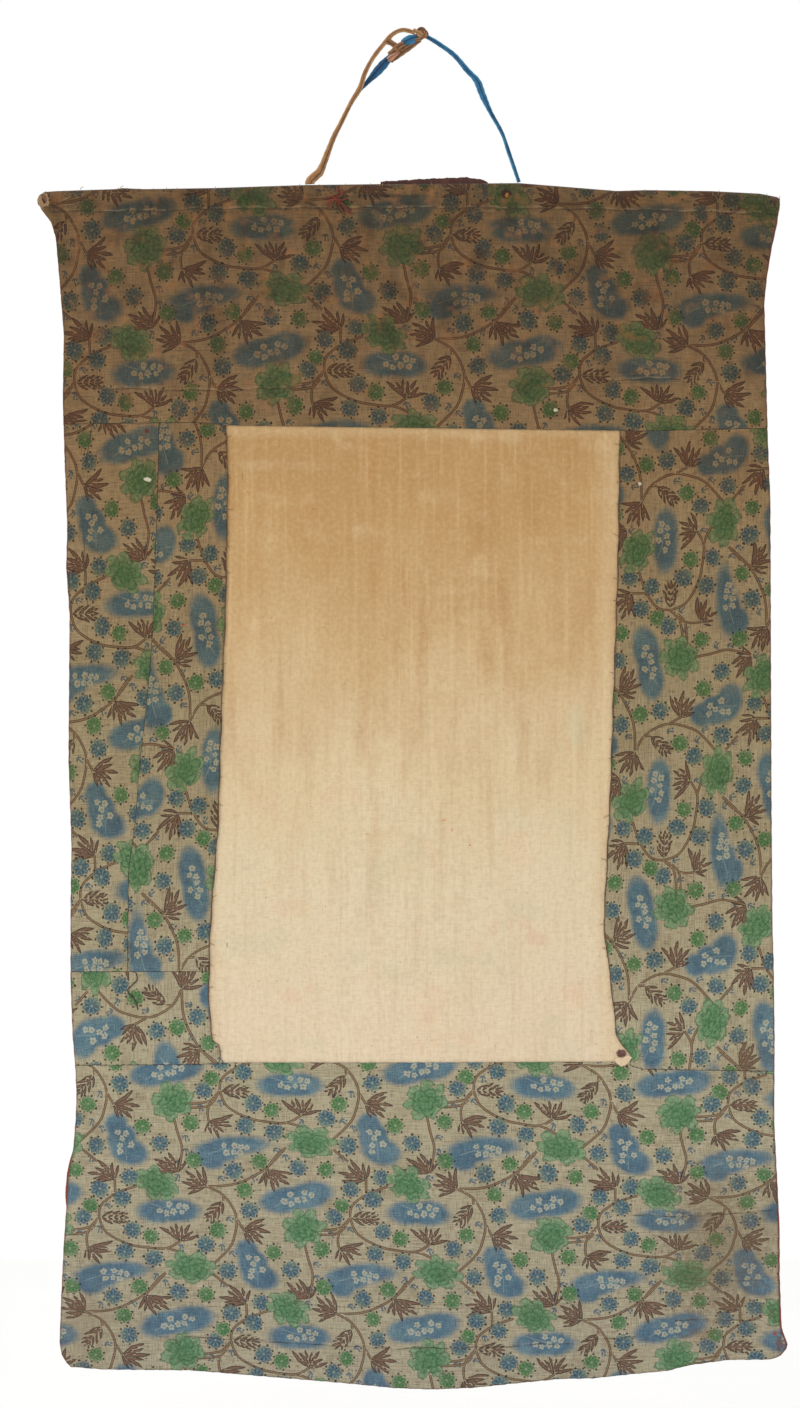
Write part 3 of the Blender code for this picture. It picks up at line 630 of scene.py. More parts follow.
class Cloth:
    """A cut piece of cloth on a grid between four edges: where its points lie on the hanging."""

    def __init__(self, left, right, top, bottom, cell, middle_x, middle_drop):
        width = float(right(middle_drop) - left(middle_drop))
        height = float(bottom(middle_x) - top(middle_x))
        a, b = np.meshgrid(stops(width, cell), stops(height, cell))
        x = np.full(a.shape, middle_x)
        drop = np.full(a.shape, middle_drop)
        for _ in range(8):
            drop = top(x) + (bottom(x) - top(x)) * b
            x = left(drop) + (right(drop) - left(drop)) * a
        self.x = x
        self.drop = drop
        self.sides = {"left": a * width, "right": (1.0 - a) * width,
                      "top": b * height, "bottom": (1.0 - b) * height}
        self.aside = np.minimum(a, 1.0 - a) * width
        self.above, self.below = self.sides["top"], self.sides["bottom"]
        self.brink = np.minimum(self.aside, np.minimum(self.above, self.below))

    def make(self, name, near, thick, way, material, slot, cap=0.0):
        """Build the sheet. near is the face towards the canvas, and way is the side it lies on."""
        rows, columns = self.x.shape
        soft = (1.0 - np.clip(self.brink / ROUNDED, 0.0, 1.0)) ** 2 * 0.32 * thick
        inner = near + way * soft
        outer = near + way * (thick - soft)
        roll = cap * (1.0 - np.clip(self.above / 1.6, 0.0, 1.0)) ** 2
        layers = []
        for y, deeper in ((outer - way * roll, 0.0), (inner - way * roll, 0.5 * thick)):
            drop = self.drop + deeper * (roll > 0.0)
            layers.append(np.stack([self.x * MM, y * MM, -drop * MM], axis=-1).reshape(-1, 3))
        points = np.concatenate(layers)
        index = np.arange(rows * columns).reshape(rows, columns)
        grid = np.stack([index[:-1, :-1], index[:-1, 1:], index[1:, 1:], index[1:, :-1]], axis=-1)
        grid = grid.reshape(-1, 4)
        total = rows * columns
        walls = []
        for line, turned in ((index[0], 0), (index[-1], 1), (index[:, 0], 1), (index[:, -1], 0)):
            wall = np.stack([line[:-1], line[1:], line[1:] + total, line[:-1] + total], axis=-1)
            walls.append(wall[:, ::-1] if turned else wall)
        faces = np.concatenate([grid[:, ::-1], grid + total] + walls)
        self.faces = faces[:, ::-1] if way > 0 else faces
        return make_piece(name, points, self.faces.tolist(), material, slot)


# Marks on the canvas: middle, half width, half height, strength and colour
CANVAS_MARKS = (
    (213.2, 1015.6, 6, 5, 0.94, (84, 44, 40)), (215, 1014, 2.8, 2.6, 0.6, (120, 76, 84)),
    (-165.5, 438, 0.7, 5, 0.4, (120, 84, 48)), (-95, 471, 2.6, 0.7, 0.5, (120, 84, 48)),
    (-181, 907, 1.2, 3, 0.5, (134, 92, 58)), (36, 782, 3.4, 0.8, 0.6, (190, 96, 62)),
    (44, 792, 1.2, 2.4, 0.5, (190, 100, 66)), (62, 807, 1.6, 1.2, 0.6, (184, 92, 60)),
    (-40, 796, 5, 1, 0.3, (196, 128, 92)), (128, 900, 14, 9, 0.16, (196, 132, 118)),
    (-120, 870, 20, 12, 0.12, (196, 138, 112)), (168, 688, 9, 26, 0.2, (176, 190, 162)),
)


def apart(first, second):
    """The distance that two offsets at right angles make up."""
    return (first * first + second * second) ** 0.5


def lay_spots(paint, table, shift_x, shift_z, uneven, firm):
    """Lay a table's marks on a finish: firm is where a mark's rim starts, of a small one and a large."""
    x, _, z = paint.split(paint.place)
    for mark_x, mark_drop, half_x, half_drop, share, stain in table:
        away = apart((x - mark_x) / half_x + shift_x, (z + mark_drop) / half_drop + shift_z)
        paint.coat(paint.rise(away + uneven, 1.0, firm[half_x >= 15]) * share, *stain)


def canvas_finish():
    """Sized cotton seen from behind: smoke-brown above, cream below, with faint ghosts of colour."""
    paint = Paint("sized_canvas", Roughness=0.86, Sheen_Weight=0.05)
    noise, rise, coat = paint.noise, paint.rise, paint.coat
    x, _, z = paint.split(paint.place)
    cloudy = noise(90.0, 3.0)
    streak = noise((13.0, 40.0, 110.0), 3.0)
    bands = noise((90.0, 40.0, 26.0), 2.0)
    down = (0.0 - z - 385.0) / 645.0 + (cloudy - 0.5) * 0.28 + (streak - 0.5) * 0.1
    paint.colour = paint.ramp(
        down, (0.0, dye(170, 132, 80)), (0.16, dye(179, 141, 89)), (0.34, dye(193, 161, 114)),
        (0.52, dye(209, 187, 148)), (0.72, dye(215, 198, 165)), (0.95, dye(219, 201, 171)))
    warm = rise(noise((24.0, 40.0, 130.0), 3.0), 0.48, 0.74)
    high = rise(z, -960.0, -560.0)
    coat(warm * (high * 0.34 + 0.08), 168, 122, 70)
    coat(rise(bands, 0.58, 0.75) * 0.14, 220, 200, 164)
    pale = rise(noise(30.0, 2.0), 0.55, 0.75)
    coat(pale * 0.25, 212, 188, 146)
    ghost_red, ghost_green, _ = paint.split(noise(46.0, 4.0, out="Color"))
    low = 1.0 - high
    coat(rise(ghost_red, 0.56, 0.7) * 0.3 * low, 216, 166, 134)
    coat(rise(ghost_green, 0.56, 0.7) * 0.22 * low, 184, 184, 152)
    side = rise(abs(x + 1.0), 184.0, 200.0)
    top = rise(z, -404.0, -392.0)
    coat(side.most(top * 0.8) * 0.4, 208, 182, 140)
    warp = noise((0.7, 9.0, 14.0), 2.0)
    weft = noise((14.0, 9.0, 0.7), 2.0)
    weave = warp * 0.5 + weft * 0.5
    # Painted shade: the hollows of the weave are darkened.
    coat(rise(weave, 0.62, 0.4) * 0.16, 150, 112, 70)
    grain = noise(4.0, 6.0)
    coat(rise(grain, 0.44, 0.7) * 0.09, 236, 212, 174)
    coat(rise(grain, 0.54, 0.34) * 0.12, 160, 116, 72)
    trails = noise((5.0, 40.0, 130.0), 4.0)
    coat(rise(trails, 0.5, 0.72) * 0.14, 228, 202, 160)
    coat(rise(trails, 0.5, 0.3) * 0.1, 154, 110, 64)
    specks = rise(noise(2.6, 1.0), 0.75, 0.79)
    coat(specks * 0.5, 128, 88, 56)
    aside = paint.vector("ADD", paint.place, {1: (57.0, 0.0, 31.0)})
    red_specks = rise(noise(2.2, 1.0, aside), 0.79, 0.81)
    near_middle = rise(abs(z + 790.0), 60.0, 20.0) * rise(abs(x - 40.0), 60.0, 20.0)
    coat(red_specks * near_middle, 186, 84, 58)
    lay_spots(paint, CANVAS_MARKS, 0.0, 0.0, (weave - 0.5) * 1.2, (0.7, 0.7))
    height = weave * 0.3 + cloudy * 0.8 + streak * 0.5
    return paint.finish(height, Roughness=0.78 + weave * 0.14)


canvas_material = canvas_finish()
canvas_cut = Cloth(line_at(CANVAS_LEFT), line_at(CANVAS_RIGHT), line_at(CANVAS_TOP),
                   line_at(CANVAS_BOTTOM), PLAIN_CELL, 13.0, 700.0)
canvas = canvas_cut.make("canvas_back", hang(canvas_cut.x, canvas_cut.drop) + CANVAS_WEB / 2.0, CANVAS_WEB,
                         -1.0, canvas_material, "canvas")
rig.replaces(canvas, "canvas")

# The silk mount on the painted side: four panels of plain red-brown silk sewn round the canvas. They
# reach a little past the lining, so a thin red edge shows at both sides of the hanging.
CLOTH_THICK = 0.8
WINDOW_LEFT, WINDOW_RIGHT = -190.0, 212.0
WINDOW_TOP, WINDOW_BOTTOM = 392.0, 1022.0
SLEEVE_BULGE = 3.9
SLEEVE_SEAM_BELOW_AXIS = 13.0
LEFT_EDGE = (
    (153, -362), (157, -368.5), (162.5, -370.4), (170, -367.5), (179, -361),
    (183, -357), (200, -352), (246, -348), (297, -344), (362, -345),
    (425, -343), (490, -340.4), (529, -341.5), (577, -338), (722, -339),
    (809, -336), (871, -337), (943, -337), (996, -335), (1032, -332),
    (1060, -331), (1083, -332), (1108, -334), (1137, -339), (1164, -340.5),
    (1206, -343.5), (1255, -346), (1305, -348), (1316, -346), (1324, -341.5),
    (1330, -335),
)
RIGHT_EDGE = (
    (157, 368), (161, 371.5), (165, 372), (179, 369), (214, 362),
    (239, 358.5), (265, 356), (324, 357.5), (402, 359.5), (462, 362),
    (762, 363), (892, 364), (922, 365), (999, 366), (1082, 365.5),
    (1192, 370), (1238, 370), (1268, 371), (1291, 372), (1299, 375.5),
    (1306, 377.5), (1312, 376.5), (1317, 371), (1321, 363),
)
TOP_EDGE = (
    (-370, 155.5), (-365, 154), (-352, 153), (-293, 151), (-286, 150),
    (-263, 151), (-194, 150), (-103, 147), (-28, 146), (111, 145),
    (160, 149), (209, 153), (237, 152), (304, 153), (352, 155.5), (372, 159.5),
)
BOTTOM_EDGE = (
    (-348, 1328), (-336, 1328.5), (-305, 1331), (-247, 1332), (-218, 1332.5),
    (-176, 1336), (-138, 1339), (-61, 1345), (-15, 1349.5), (25, 1351),
    (65, 1349.5), (100, 1346), (152, 1341), (186, 1340.5), (227, 1336),
    (259, 1333), (282, 1327), (320, 1321.5), (363, 1321), (377, 1316),
)
# How far the silk shows past the lining, as (drop, width)
LEFT_SHOWS = (
    (150, 0.2), (700, 0.5), (1114, 0.4), (1126, 2), (1158, 2.6), (1168, 0.7), (1330, 0.3),
)
RIGHT_SHOWS = (
    (155, 0.3), (188, 1.6), (250, 0.5), (900, 0.5), (1100, 0.7), (1170, 1.5), (1300, 1.7),
)
BATTEN_AXIS = (
    (-372, 163.5), (-180, 160.5), (0, 157.7), (111, 157.5), (215, 161.5), (373, 165.5),
)
read_top = edge_along(TOP_EDGE)
read_axis = edge_along(BATTEN_AXIS)


def sleeve_bulge(x, drop):
    """How far either side of the sleeve stands out round the batten."""
    axis = read_axis(x)
    above = (axis - drop) / (axis - read_top(x))
    below = (drop - axis) / SLEEVE_SEAM_BELOW_AXIS
    share = np.where(drop < axis, above, below)
    return SLEEVE_BULGE * np.cos(0.5 * math.pi * np.clip(share, 0.0, 1.0))


def silk_finish():
    """Old satin-woven silk: a fine rib, a dull shine, and rubbed, browned patches."""
    paint = Paint("red_brown_silk", Sheen_Weight=0.3, Specular_IOR_Level=0.45)
    rib = paint.noise((30.0, 20.0, 0.5), 2.0)
    warp = paint.noise((0.6, 20.0, 30.0), 2.0)
    age = paint.noise(70.0, 4.0)
    worn = paint.rise(paint.noise(14.0, 4.0), 0.56, 0.7)
    paint.colour = paint.ramp(age * 0.7 + rib * 0.3, (0.3, dye(98, 34, 24)), (0.55, dye(126, 48, 34)),
                              (0.75, dye(144, 62, 42)))
    paint.coat(worn * 0.3, 150, 88, 56)
    return paint.finish(rib * 0.25 + warp * 0.15 + age * 0.8, Roughness=0.42 + age * 0.25)


def mount_near(x, drop):
    """The mount's face towards the canvas."""
    return hang(x, drop) + 0.15 + canvas_lift(x, drop) + sleeve_bulge(x, drop)


silk = silk_finish()


def mount_side(table, shows, way):
    """The silk's side edge: the lining's own edge, moved out by as much as shows past it."""
    lining, more = edge_along(table), edge_along(shows, 0.0, 0.12)
    return lambda drop: lining(drop) + way * more(drop)


mount_left_edge = mount_side(LEFT_EDGE, LEFT_SHOWS, -1.0)
mount_right_edge = mount_side(RIGHT_EDGE, RIGHT_SHOWS, 1.0)


def sew_mount(name, node, left, right, top, bottom, flat, area=None, middle_x=0.0, middle_drop=700.0):
    """One panel of the silk mount."""
    cut = Cloth(left, right, top, bottom, PLAIN_CELL, middle_x, middle_drop)
    near = mount_near(cut.x, cut.drop)
    turned = 0.25 * np.exp(-(np.minimum(cut.aside, cut.below) / 7.0) ** 2)
    made = cut.make(name, near + turned, CLOTH_THICK, 1.0, silk, "mount_silk")
    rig.replaces(made, node)
    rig.sheet(made, flat=flat, held="hung", rests_on=["canvas_back"], area=area)


sew_mount("silk_top", "mount_top", mount_left_edge, mount_right_edge, edge_along(TOP_EDGE, 1.0),
          line_at(WINDOW_TOP), (0.735, 0.26), 0.175, 0.0, 280.0)
sew_mount("silk_bottom", "mount_bottom", mount_left_edge, mount_right_edge,
          line_at(WINDOW_BOTTOM), edge_along(BOTTOM_EDGE), (0.735, 0.34), 0.225, 0.0, 1180.0)
sew_mount("silk_left", "mount_left", mount_left_edge, line_at(WINDOW_LEFT),
          line_at(WINDOW_TOP), line_at(WINDOW_BOTTOM), (0.155, 0.64), None, -265.0)
sew_mount("silk_right", "mount_right", line_at(WINDOW_RIGHT), mount_right_edge,
          line_at(WINDOW_TOP), line_at(WINDOW_BOTTOM), (0.155, 0.64), None, 290.0)
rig.sheet(canvas, flat=(0.442, 0.658), held="stretched", rests_on=["silk_left", "silk_right"])

# A short strip of the same red cloth, sewn along the front of the sleeve. Its torn upper edge stands
# a few millimetres above the top edge between the straps.
TOP_STRIP_ABOVE = ((-27.5, 143.4), (17.0, 140.6), (59.0, 139.0), (77.0, 142.0), (84.0, 148.0))
strip_cut = Cloth(line_at(-27.5), line_at(84.0), edge_along(TOP_STRIP_ABOVE, 0.0, 0.25),
                  edge_along(TOP_EDGE, 14.0), 1.6, 28.0, 150.0)
strip_near = mount_near(strip_cut.x, np.maximum(strip_cut.drop, read_top(strip_cut.x))) + CLOTH_THICK + 0.3
strip_near = strip_near + 0.25 * np.sin(0.5 * strip_cut.x) * np.exp(-strip_cut.above / 4.0)
torn = Paint("torn_red_cloth", Roughness=0.9, Sheen_Weight=0.1)
torn_weave = torn.noise((0.7, 5.0, 6.0), 3.0)
torn_stain = torn.noise(11.0, 3.0)
torn.colour = torn.ramp(torn_weave * 0.5 + torn_stain * 0.5, (0.3, dye(42, 22, 17)),
                        (0.55, dye(74, 40, 30)), (0.75, dye(104, 60, 44)))
torn.finish(torn_weave * 0.6 + torn_stain * 0.4)
top_strip = strip_cut.make("torn_strip", strip_near, CLOTH_THICK, 1.0, torn.material, "mount_silk")
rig.replaces(top_strip, "top_strip")
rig.sheet(top_strip, flat=(0.1115, 0.022), held="hung", rests_on=["silk_top"])

# The lining: thin printed cotton, pieced from six panels, some with the print turned a quarter. The
# panels meet edge to edge in flat seams, and leave the canvas bare between them.
LINING_THICK = 0.8
LINING_CELL = 3.0
UPPER_SEAM = ((-346, 386), (-210, 384.4), (-180.3, 387.4), (236, 393), (360, 390))
LOWER_SEAM = (
    (-337, 1027), (-210, 1026.4), (-180.3, 1024.5), (206.3, 1023.6), (236, 1031.1),
    (367, 1033),
)
STRIP_SEAM = (
    (380, -249), (417, -249.3), (521, -252.5), (590, -255), (631, -258),
    (686, -263.4), (722, -268), (782, -272.3), (834, -279.4), (934, -280.5),
)
WINDOW_LEFT_EDGE = (
    (386, -182), (432, -180), (562, -182), (662, -186), (792, -190),
    (853, -195), (896, -198), (943, -199), (969, -199), (1003, -195.5),
    (1005, -189), (1021, -187), (1027, -181),
)
WINDOW_RIGHT_EDGE = (
    (392, 211.6), (522, 210), (612, 207), (762, 202), (892, 195.6),
    (904, 198), (942, 202.5), (968, 205.6), (996, 208), (1005, 213),
    (1019, 223.6), (1031, 221),
)
LOWER_PIECE_TOP = 933.5

# The print's repeat, in millimetres of cloth: its vines meet at a junction, and junctions lie a
# repeat apart along the cloth, with every other row moved on by half a repeat
REPEAT_ALONG, REPEAT_DOWN = 252.0, 132.0
MOTIF_REACH = 45.0
LINE_REACH = 14.0
NOWHERE_NEAR = 40.0
OUT_OF_CLOUD = -30.0
CHART_SPREAD = 90.0
BLUE, GREEN, PALE = 0, 1, 2
BLUE_FLOWERS = (
    (-16, -1), (33, 13), (24.5, 36), (53, 43), (105, 29), (151, -7),
    (125.5, 57), (190, 55), (11, 84), (75.5, 80), (158, 90), (127.5, 102),
    (23.5, -20),
)
GREEN_FLOWERS = (
    (51, 20), (118, 14), (-30, 33), (-29, 72.5), (37, 73.5), (173, 37),
    (103, 82), (21, 104), (118, 119),
)
PALE_BLOSSOMS = (
    (70.7, -13.8), (80.5, -12), (87, -10.5), (67.5, -4), (75, -5.5), (61, -6.5), (83, -5),
    (147.7, 43.1), (155.5, 44.5), (152, 49.5), (150, 57), (160.8, 56), (149, 63),
    (2.4, 57.2), (13.3, 57), (19, 58.5), (25, 59.8), (12, 64), (18.5, 64.5), (4.5, 64.5),
    (60, 115.5), (66.5, 108), (74, 114), (81, 106), (88, 108.5), (80, 113), (67, 117.5),
)
FLOWER_SIZES = ((BLUE_FLOWERS, BLUE, 9.2), (GREEN_FLOWERS, GREEN, 8.6), (PALE_BLOSSOMS, PALE, 3.6))
# Each peony: its middle, its half width and half height, and its lean
PEONIES = ((88.8, 53.1, 27, 18.5, 0.1), (-48, 11, 24, 21, -0.5), (186, 96.5, 25.5, 18, 0.5))
# Feathered leaves run from base to tip; fan leaves have a base, then the tips of their main blades
FEATHERS = ((1, 0, 30, 0.5), (125.5, -17, 107, 5))
FANS = (
    ((-12, 32), (13, 26), (11, 37), (-1, 49), (-16, 43)),
    ((80, 25.5), (61, 9.5), (76, 7), (90, 7.5), (99, 20)),
    ((144, 14), (165, 1), (171, 15), (163, 28), (149, 29)),
    ((43, 83), (70, 87), (66, 98), (52, 105), (36, 98)),
    ((-17, 100), (-20, 79), (-38, 84), (-42, 96), (-36, 108)),
    ((143, 92), (147, 77), (127, 71), (116, 84), (119, 95)),
    ((207, 85), (216, 74), (199, 64), (184, 70), (180, 82)),
)
VINES = (
    ((64, 59), (42, 82), (13, 97), (-15, 100)),
    ((-17, 100), (-2, 108), (8, 122), (11.5, 135), (9, 150), (2, 166), (-20, 187)),
    ((111, 61), (125.5, 73.5)),
    ((165, 99), (144, 107), (128.5, 119), (126, 132)),
    ((143, 92), (143, 106)),
    ((0, 0), (-7, 9), (-22, 13), (-36, 13)),
    ((-4, 8), (-12, 15.5), (-24, 17.5), (-37, 18.5)),
    ((0, 0), (-10, 12), (-13, 22.5), (-12, 32)),
    ((0, 0), (7, 16), (27.5, 28), (46, 32), (66, 33), (80, 25.5)),
    ((66, 33), (76, 36), (85, 41)),
    ((205, 28), (208, 43), (212, 59), (210, 73.5), (207, 85)),
    ((125.5, -17), (125, -23)),
    ((138, 3), (144, 14)),
    ((64, 59), (54, 68), (43, 83)),
)
# Thin pale stems under the blossoms
PALE_STEMS = (
    ((52, -14.5), (65, -10), (80, -9), (88, -10)), ((65, -10), (60, -6)),
    ((155.5, 72), (155, 57), (152, 47)), ((155, 60), (161, 55)),
    ((155.3, 66), (149, 62)),
    ((-14, 66), (2, 61), (14, 60.5), (26, 60)), ((8, 61), (12, 65)),
    ((51, 121), (64, 113), (76, 110.5), (91, 105)), ((70, 111.5), (75, 116)),
)
SPRIGS = (
    (0, 12), (-20, 17), (80, 32), (121, 32), (131, 39), (-36, 49),
    (-45, 75.5), (-2, 92), (30, 91), (54, 62), (63, 69), (119, 70),
    (130, 3), (-6, -12), (9, -12), (216, 63), (206, 90), (154, 112),
)
# Each airbrushed cloud is one or two ovals: middle, half length, half height, and lean
CLOUDS = (
    ((62, -6.5, 25, 13, 0), (78, -6.5, 25, 13, 0)),
    ((12, 57, 37, 10.5, -0.06), (-4, 63, 24, 12.5, 0), (-11, 70, 15, 13, 0.3)),
    ((146.5, 36, 12.5, 13, 0), (151.5, 49, 15.5, 16, 0.4), (158.5, 63, 20.5, 14.5, 0.3)),
    ((61, 113.5, 27, 14, -0.21), (84, 109, 27, 14.5, -0.21)),
)


def junctions(low, high):
    """Every junction of the print whose motifs can reach a box of the cloth."""
    found = []
    for row in range(math.floor(low[1] / REPEAT_DOWN) - 2, math.ceil(high[1] / REPEAT_DOWN) + 2):
        first = math.floor(low[0] / REPEAT_ALONG) - 2
        for turn in range(first, math.ceil(high[0] / REPEAT_ALONG) + 2):
            found.append((REPEAT_ALONG * (turn + 0.5 * (row % 2)), REPEAT_DOWN * row))
    return found


def chance(x, y):
    """A fixed share from 0 to 1 for a place, so that no two motifs are quite alike."""
    value = math.sin(x * 12.9898 + y * 78.233) * 43758.5453
    return value - math.floor(value)


def closest(centres, spots):
    """For each face, which of the spots (x, y, reach) lies nearest in its own reach."""
    best = np.full(len(centres), 1e9)
    which = np.zeros(len(centres), dtype=int)
    for index, (x, y, reach) in enumerate(spots):
        far = np.hypot(centres[:, 0] - x, centres[:, 1] - y) / reach
        nearer = far < best
        best[nearer] = far[nearer]
        which[nearer] = index
    return which


def near_segments(points, line):
    """The nearest place on a line for each point: the run along it, the offset and the distance."""
    starts, steps = line[:-1], np.diff(line, axis=0)
    lengths = np.linalg.norm(steps, axis=1)
    ways = steps / lengths[:, None]
    runs = np.concatenate([[0.0], np.cumsum(lengths)[:-1]])
    away = points[:, None, :] - starts[None]
    run = (away * ways[None]).sum(-1)
    offset = away[:, :, 0] * ways[None, :, 1] - away[:, :, 1] * ways[None, :, 0]
    over = run - np.clip(run, 0.0, lengths)
    far = np.hypot(over, offset)
    pick = far.argmin(axis=1)
    rows = np.arange(len(points))
    return runs[pick] + run[rows, pick], offset[rows, pick], far[rows, pick]


def mark_corners(mesh, name, values):
    """Keep a vector at each corner of each face, so that neighbouring motifs never blend."""
    kept = mesh.attributes.new(name, "FLOAT_VECTOR", "CORNER")
    kept.data.foreach_set("vector", values.astype(np.float32).ravel())


def lean_by(away_x, away_y, lean):
    """Offsets read along axes that lean by an angle."""
    return (away_x * np.cos(lean) + away_y * np.sin(lean), away_y * np.cos(lean) - away_x * np.sin(lean))


def print_cotton(mesh, chart, faces):
    """Lay the print on a panel: each corner keeps its place within the nearest motif of each kind."""
    corners = chart[faces]
    centres = corners.mean(axis=1)
    low, high = chart.min(axis=0), chart.max(axis=0)
    places = junctions(low, high)

    def spread(table, shape):
        """Every copy of a table's motifs near the panel, as shape(x, y, jx, jy, row) lists them."""
        found = []
        for jx, jy in places:
            for row in table:
                x, y = jx + row[0], jy + row[1]
                if (low[0] - MOTIF_REACH < x < high[0] + MOTIF_REACH
                        and low[1] - MOTIF_REACH < y < high[1] + MOTIF_REACH):
                    found.append(shape(x, y, jx, jy, row))
        return found

    def nearest(motifs):
        """For each face, the row of the motif it belongs to, and its corners' offsets from it."""
        motifs = np.array(motifs)
        pick = motifs[closest(centres, motifs[:, :3])]
        return pick, corners - pick[:, None, :2]

    def for_corners(values):
        return np.repeat(np.asarray(values)[:, None], 4, axis=1)

    flowers = []
    for table, kind, size in FLOWER_SIZES:
        flowers += spread(table, lambda x, y, jx, jy, row: (x, y, size * (0.94 + 0.12 * chance(x, y)), kind))
    pick, away = nearest(flowers)
    seeds = np.array([chance(x * 1.7, y) for x, y in pick[:, :2]])
    code = for_corners(pick[:, 3] + 0.05 + 0.9 * seeds)[..., None]
    mark_corners(mesh, "flower", np.concatenate([away / pick[:, None, 2:3], code], axis=2))

    pick, away = nearest(spread(PEONIES, lambda x, y, jx, jy, row: (x, y, 24.0, *row[2:])))
    local_x, local_y = lean_by(away[..., 0], away[..., 1], pick[:, None, 5])
    seeds = for_corners([chance(x, y) for x, y in pick[:, :2]])
    local = [local_x / pick[:, None, 3], local_y / pick[:, None, 4], seeds]
    mark_corners(mesh, "peony", np.stack(local, axis=2))

    pick, away = nearest(spread(SPRIGS, lambda x, y, jx, jy, row: (x, y, 5.0, 2.17 * (chance(x, y) - 0.5))))
    local_x, local_y = lean_by(away[..., 0], away[..., 1], pick[:, None, 3])
    mark_corners(mesh, "sprig", np.stack([local_x, local_y, np.zeros_like(local_x)], axis=2))

    leaves = []
    for x, y, jx, jy, row in spread(FEATHERS, lambda *found: found):
        base = np.array((x, y))
        rib = np.array((jx + row[2], jy + row[3])) - base
        leaves.append(np.array([base, base + 0.5 * rib, base + rib]))
        for share, long in ((0.06, 0.42), (0.27, 0.44), (0.48, 0.4), (0.68, 0.3)):
            for turn in (0.6, -0.6):
                turn = turn + 0.2 * (chance(x + share, turn) - 0.5)
                blade = long * np.array(lean_by(*rib, -turn))
                root = base + share * rib
                leaves.append(np.array([root, root + 0.48 * blade, root + blade + 0.05 * rib]))
    for x, y, jx, jy, row in spread([(*base, *tips) for base, *tips in FANS], lambda *found: found):
        tips = np.array(row[2:]) - row[:2]
        turns = np.unwrap(np.arctan2(tips[:, 1], tips[:, 0]))
        for step in range(2 * len(tips) - 1):
            place = step / 2.0
            turn = np.interp(place, range(len(tips)), turns)
            long = np.interp(place, range(len(tips)), np.hypot(*tips.T)) * (1.0 if step % 2 == 0 else 0.84)
            lean = 0.16 * (chance(x + step, y) - 0.5)
            half = (x + 0.55 * long * math.cos(turn + lean), y + 0.55 * long * math.sin(turn + lean))
            end = (x + long * math.cos(turn - lean), y + long * math.sin(turn - lean))
            leaves.append(np.array([(x, y), half, end]))
    vines = []
    for table, size in ((VINES, 1.0), (PALE_STEMS, 2.4)):
        for curve in table:
            line = np.array(curve_through(curve, 2.5))
            for jx, jy in places:
                vines.append((line + (jx, jy), size))
    for name, lines in (("leaf", [(line, 1.0) for line in leaves]), ("vine", vines)):
        best = np.full(len(centres), LINE_REACH)
        values = np.zeros(corners.shape[:2] + (3,))
        values[..., 1] = NOWHERE_NEAR
        for line, size in lines:
            box_low, box_high = line.min(axis=0) - LINE_REACH, line.max(axis=0) + LINE_REACH
            near = np.nonzero(np.all((centres > box_low) & (centres < box_high), axis=1))[0]
            if len(near) == 0:
                continue
            _, _, far = near_segments(centres[near], line)
            nearer = near[far < best[near]]
            best[near] = np.minimum(best[near], far)
            if len(nearer) == 0:
                continue
            run, offset, _ = near_segments(corners[nearer].reshape(-1, 2), line)
            total = np.linalg.norm(np.diff(line, axis=0), axis=1).sum()
            found = np.stack([run * size, offset * size, np.full_like(run, total * size)], axis=1)
            values[nearer] = found.reshape(-1, 4, 3)
        mark_corners(mesh, name, values)

    cloud = np.full(len(chart), OUT_OF_CLOUD)
    for jx, jy in places:
        for ovals in CLOUDS:
            depth = np.full(len(chart), OUT_OF_CLOUD)
            for x, y, half_long, half_high, lean in ovals:
                along_x, along_y = lean_by(chart[:, 0] - jx - x, chart[:, 1] - jy - y, lean)
                inside = 1.0 - np.hypot(along_x / half_long, along_y / half_high)
                depth = np.maximum(depth, inside * min(half_long, half_high))
            cloud = np.maximum(cloud, depth)
    return cloud


# Holes, scorch and spots on the cloth, and a painted shadow along the sleeve: middle, half width, half height,
# strength and colour
STAINS_AND_SHADOW = (
    (-365, 163, 7.4, 9, 0.6, (170, 136, 98)),
    (-363.4, 162.4, 2.6, 3.4, 0.95, (26, 16, 12)), (-358.6, 162, 1.4, 2, 0.9, (30, 18, 14)),
    (364, 165, 2.6, 3, 0.95, (20, 12, 8)), (97.8, 156, 5.2, 6.5, 0.9, (44, 20, 12)),
    # The dark band at (-20, 158.5) is a painted shadow along the sleeve.
    (98.8, 157.5, 2.2, 2.8, 0.8, (156, 96, 40)), (-20, 158.5, 50, 3, 0.62, (24, 26, 24)),
    (-261, 393, 2.6, 2.4, 0.85, (92, 30, 24)), (-260.2, 441.6, 4.2, 2.2, 0.85, (198, 190, 170)),
    (147.5, 372, 2.2, 1.8, 0.8, (190, 182, 160)), (232, 446, 2.4, 1.8, 0.8, (190, 182, 160)),
    (-224, 587, 2.2, 1.2, 0.8, (166, 50, 38)), (366.8, 1295, 2.6, 2.4, 0.8, (150, 52, 38)),
    (-290, 200, 26, 10, 0.34, (58, 34, 20)), (250, 205, 30, 12, 0.3, (60, 36, 22)),
    (70, 215, 16, 9, 0.3, (56, 34, 20)), (292, 1296, 26, 10, 0.28, (108, 80, 52)),
    (310, 1215, 84, 124, 0.46, (96, 76, 50)), (-320, 1290, 40, 60, 0.24, (104, 82, 54)),
    (340, 1030, 40, 60, 0.24, (104, 84, 56)), (371.5, 1304, 4.4, 8, 0.55, (104, 52, 40)),
    (286, 1178, 34, 8, 0.36, (86, 68, 46)), (320, 420, 44, 34, 0.2, (88, 66, 42)),
)


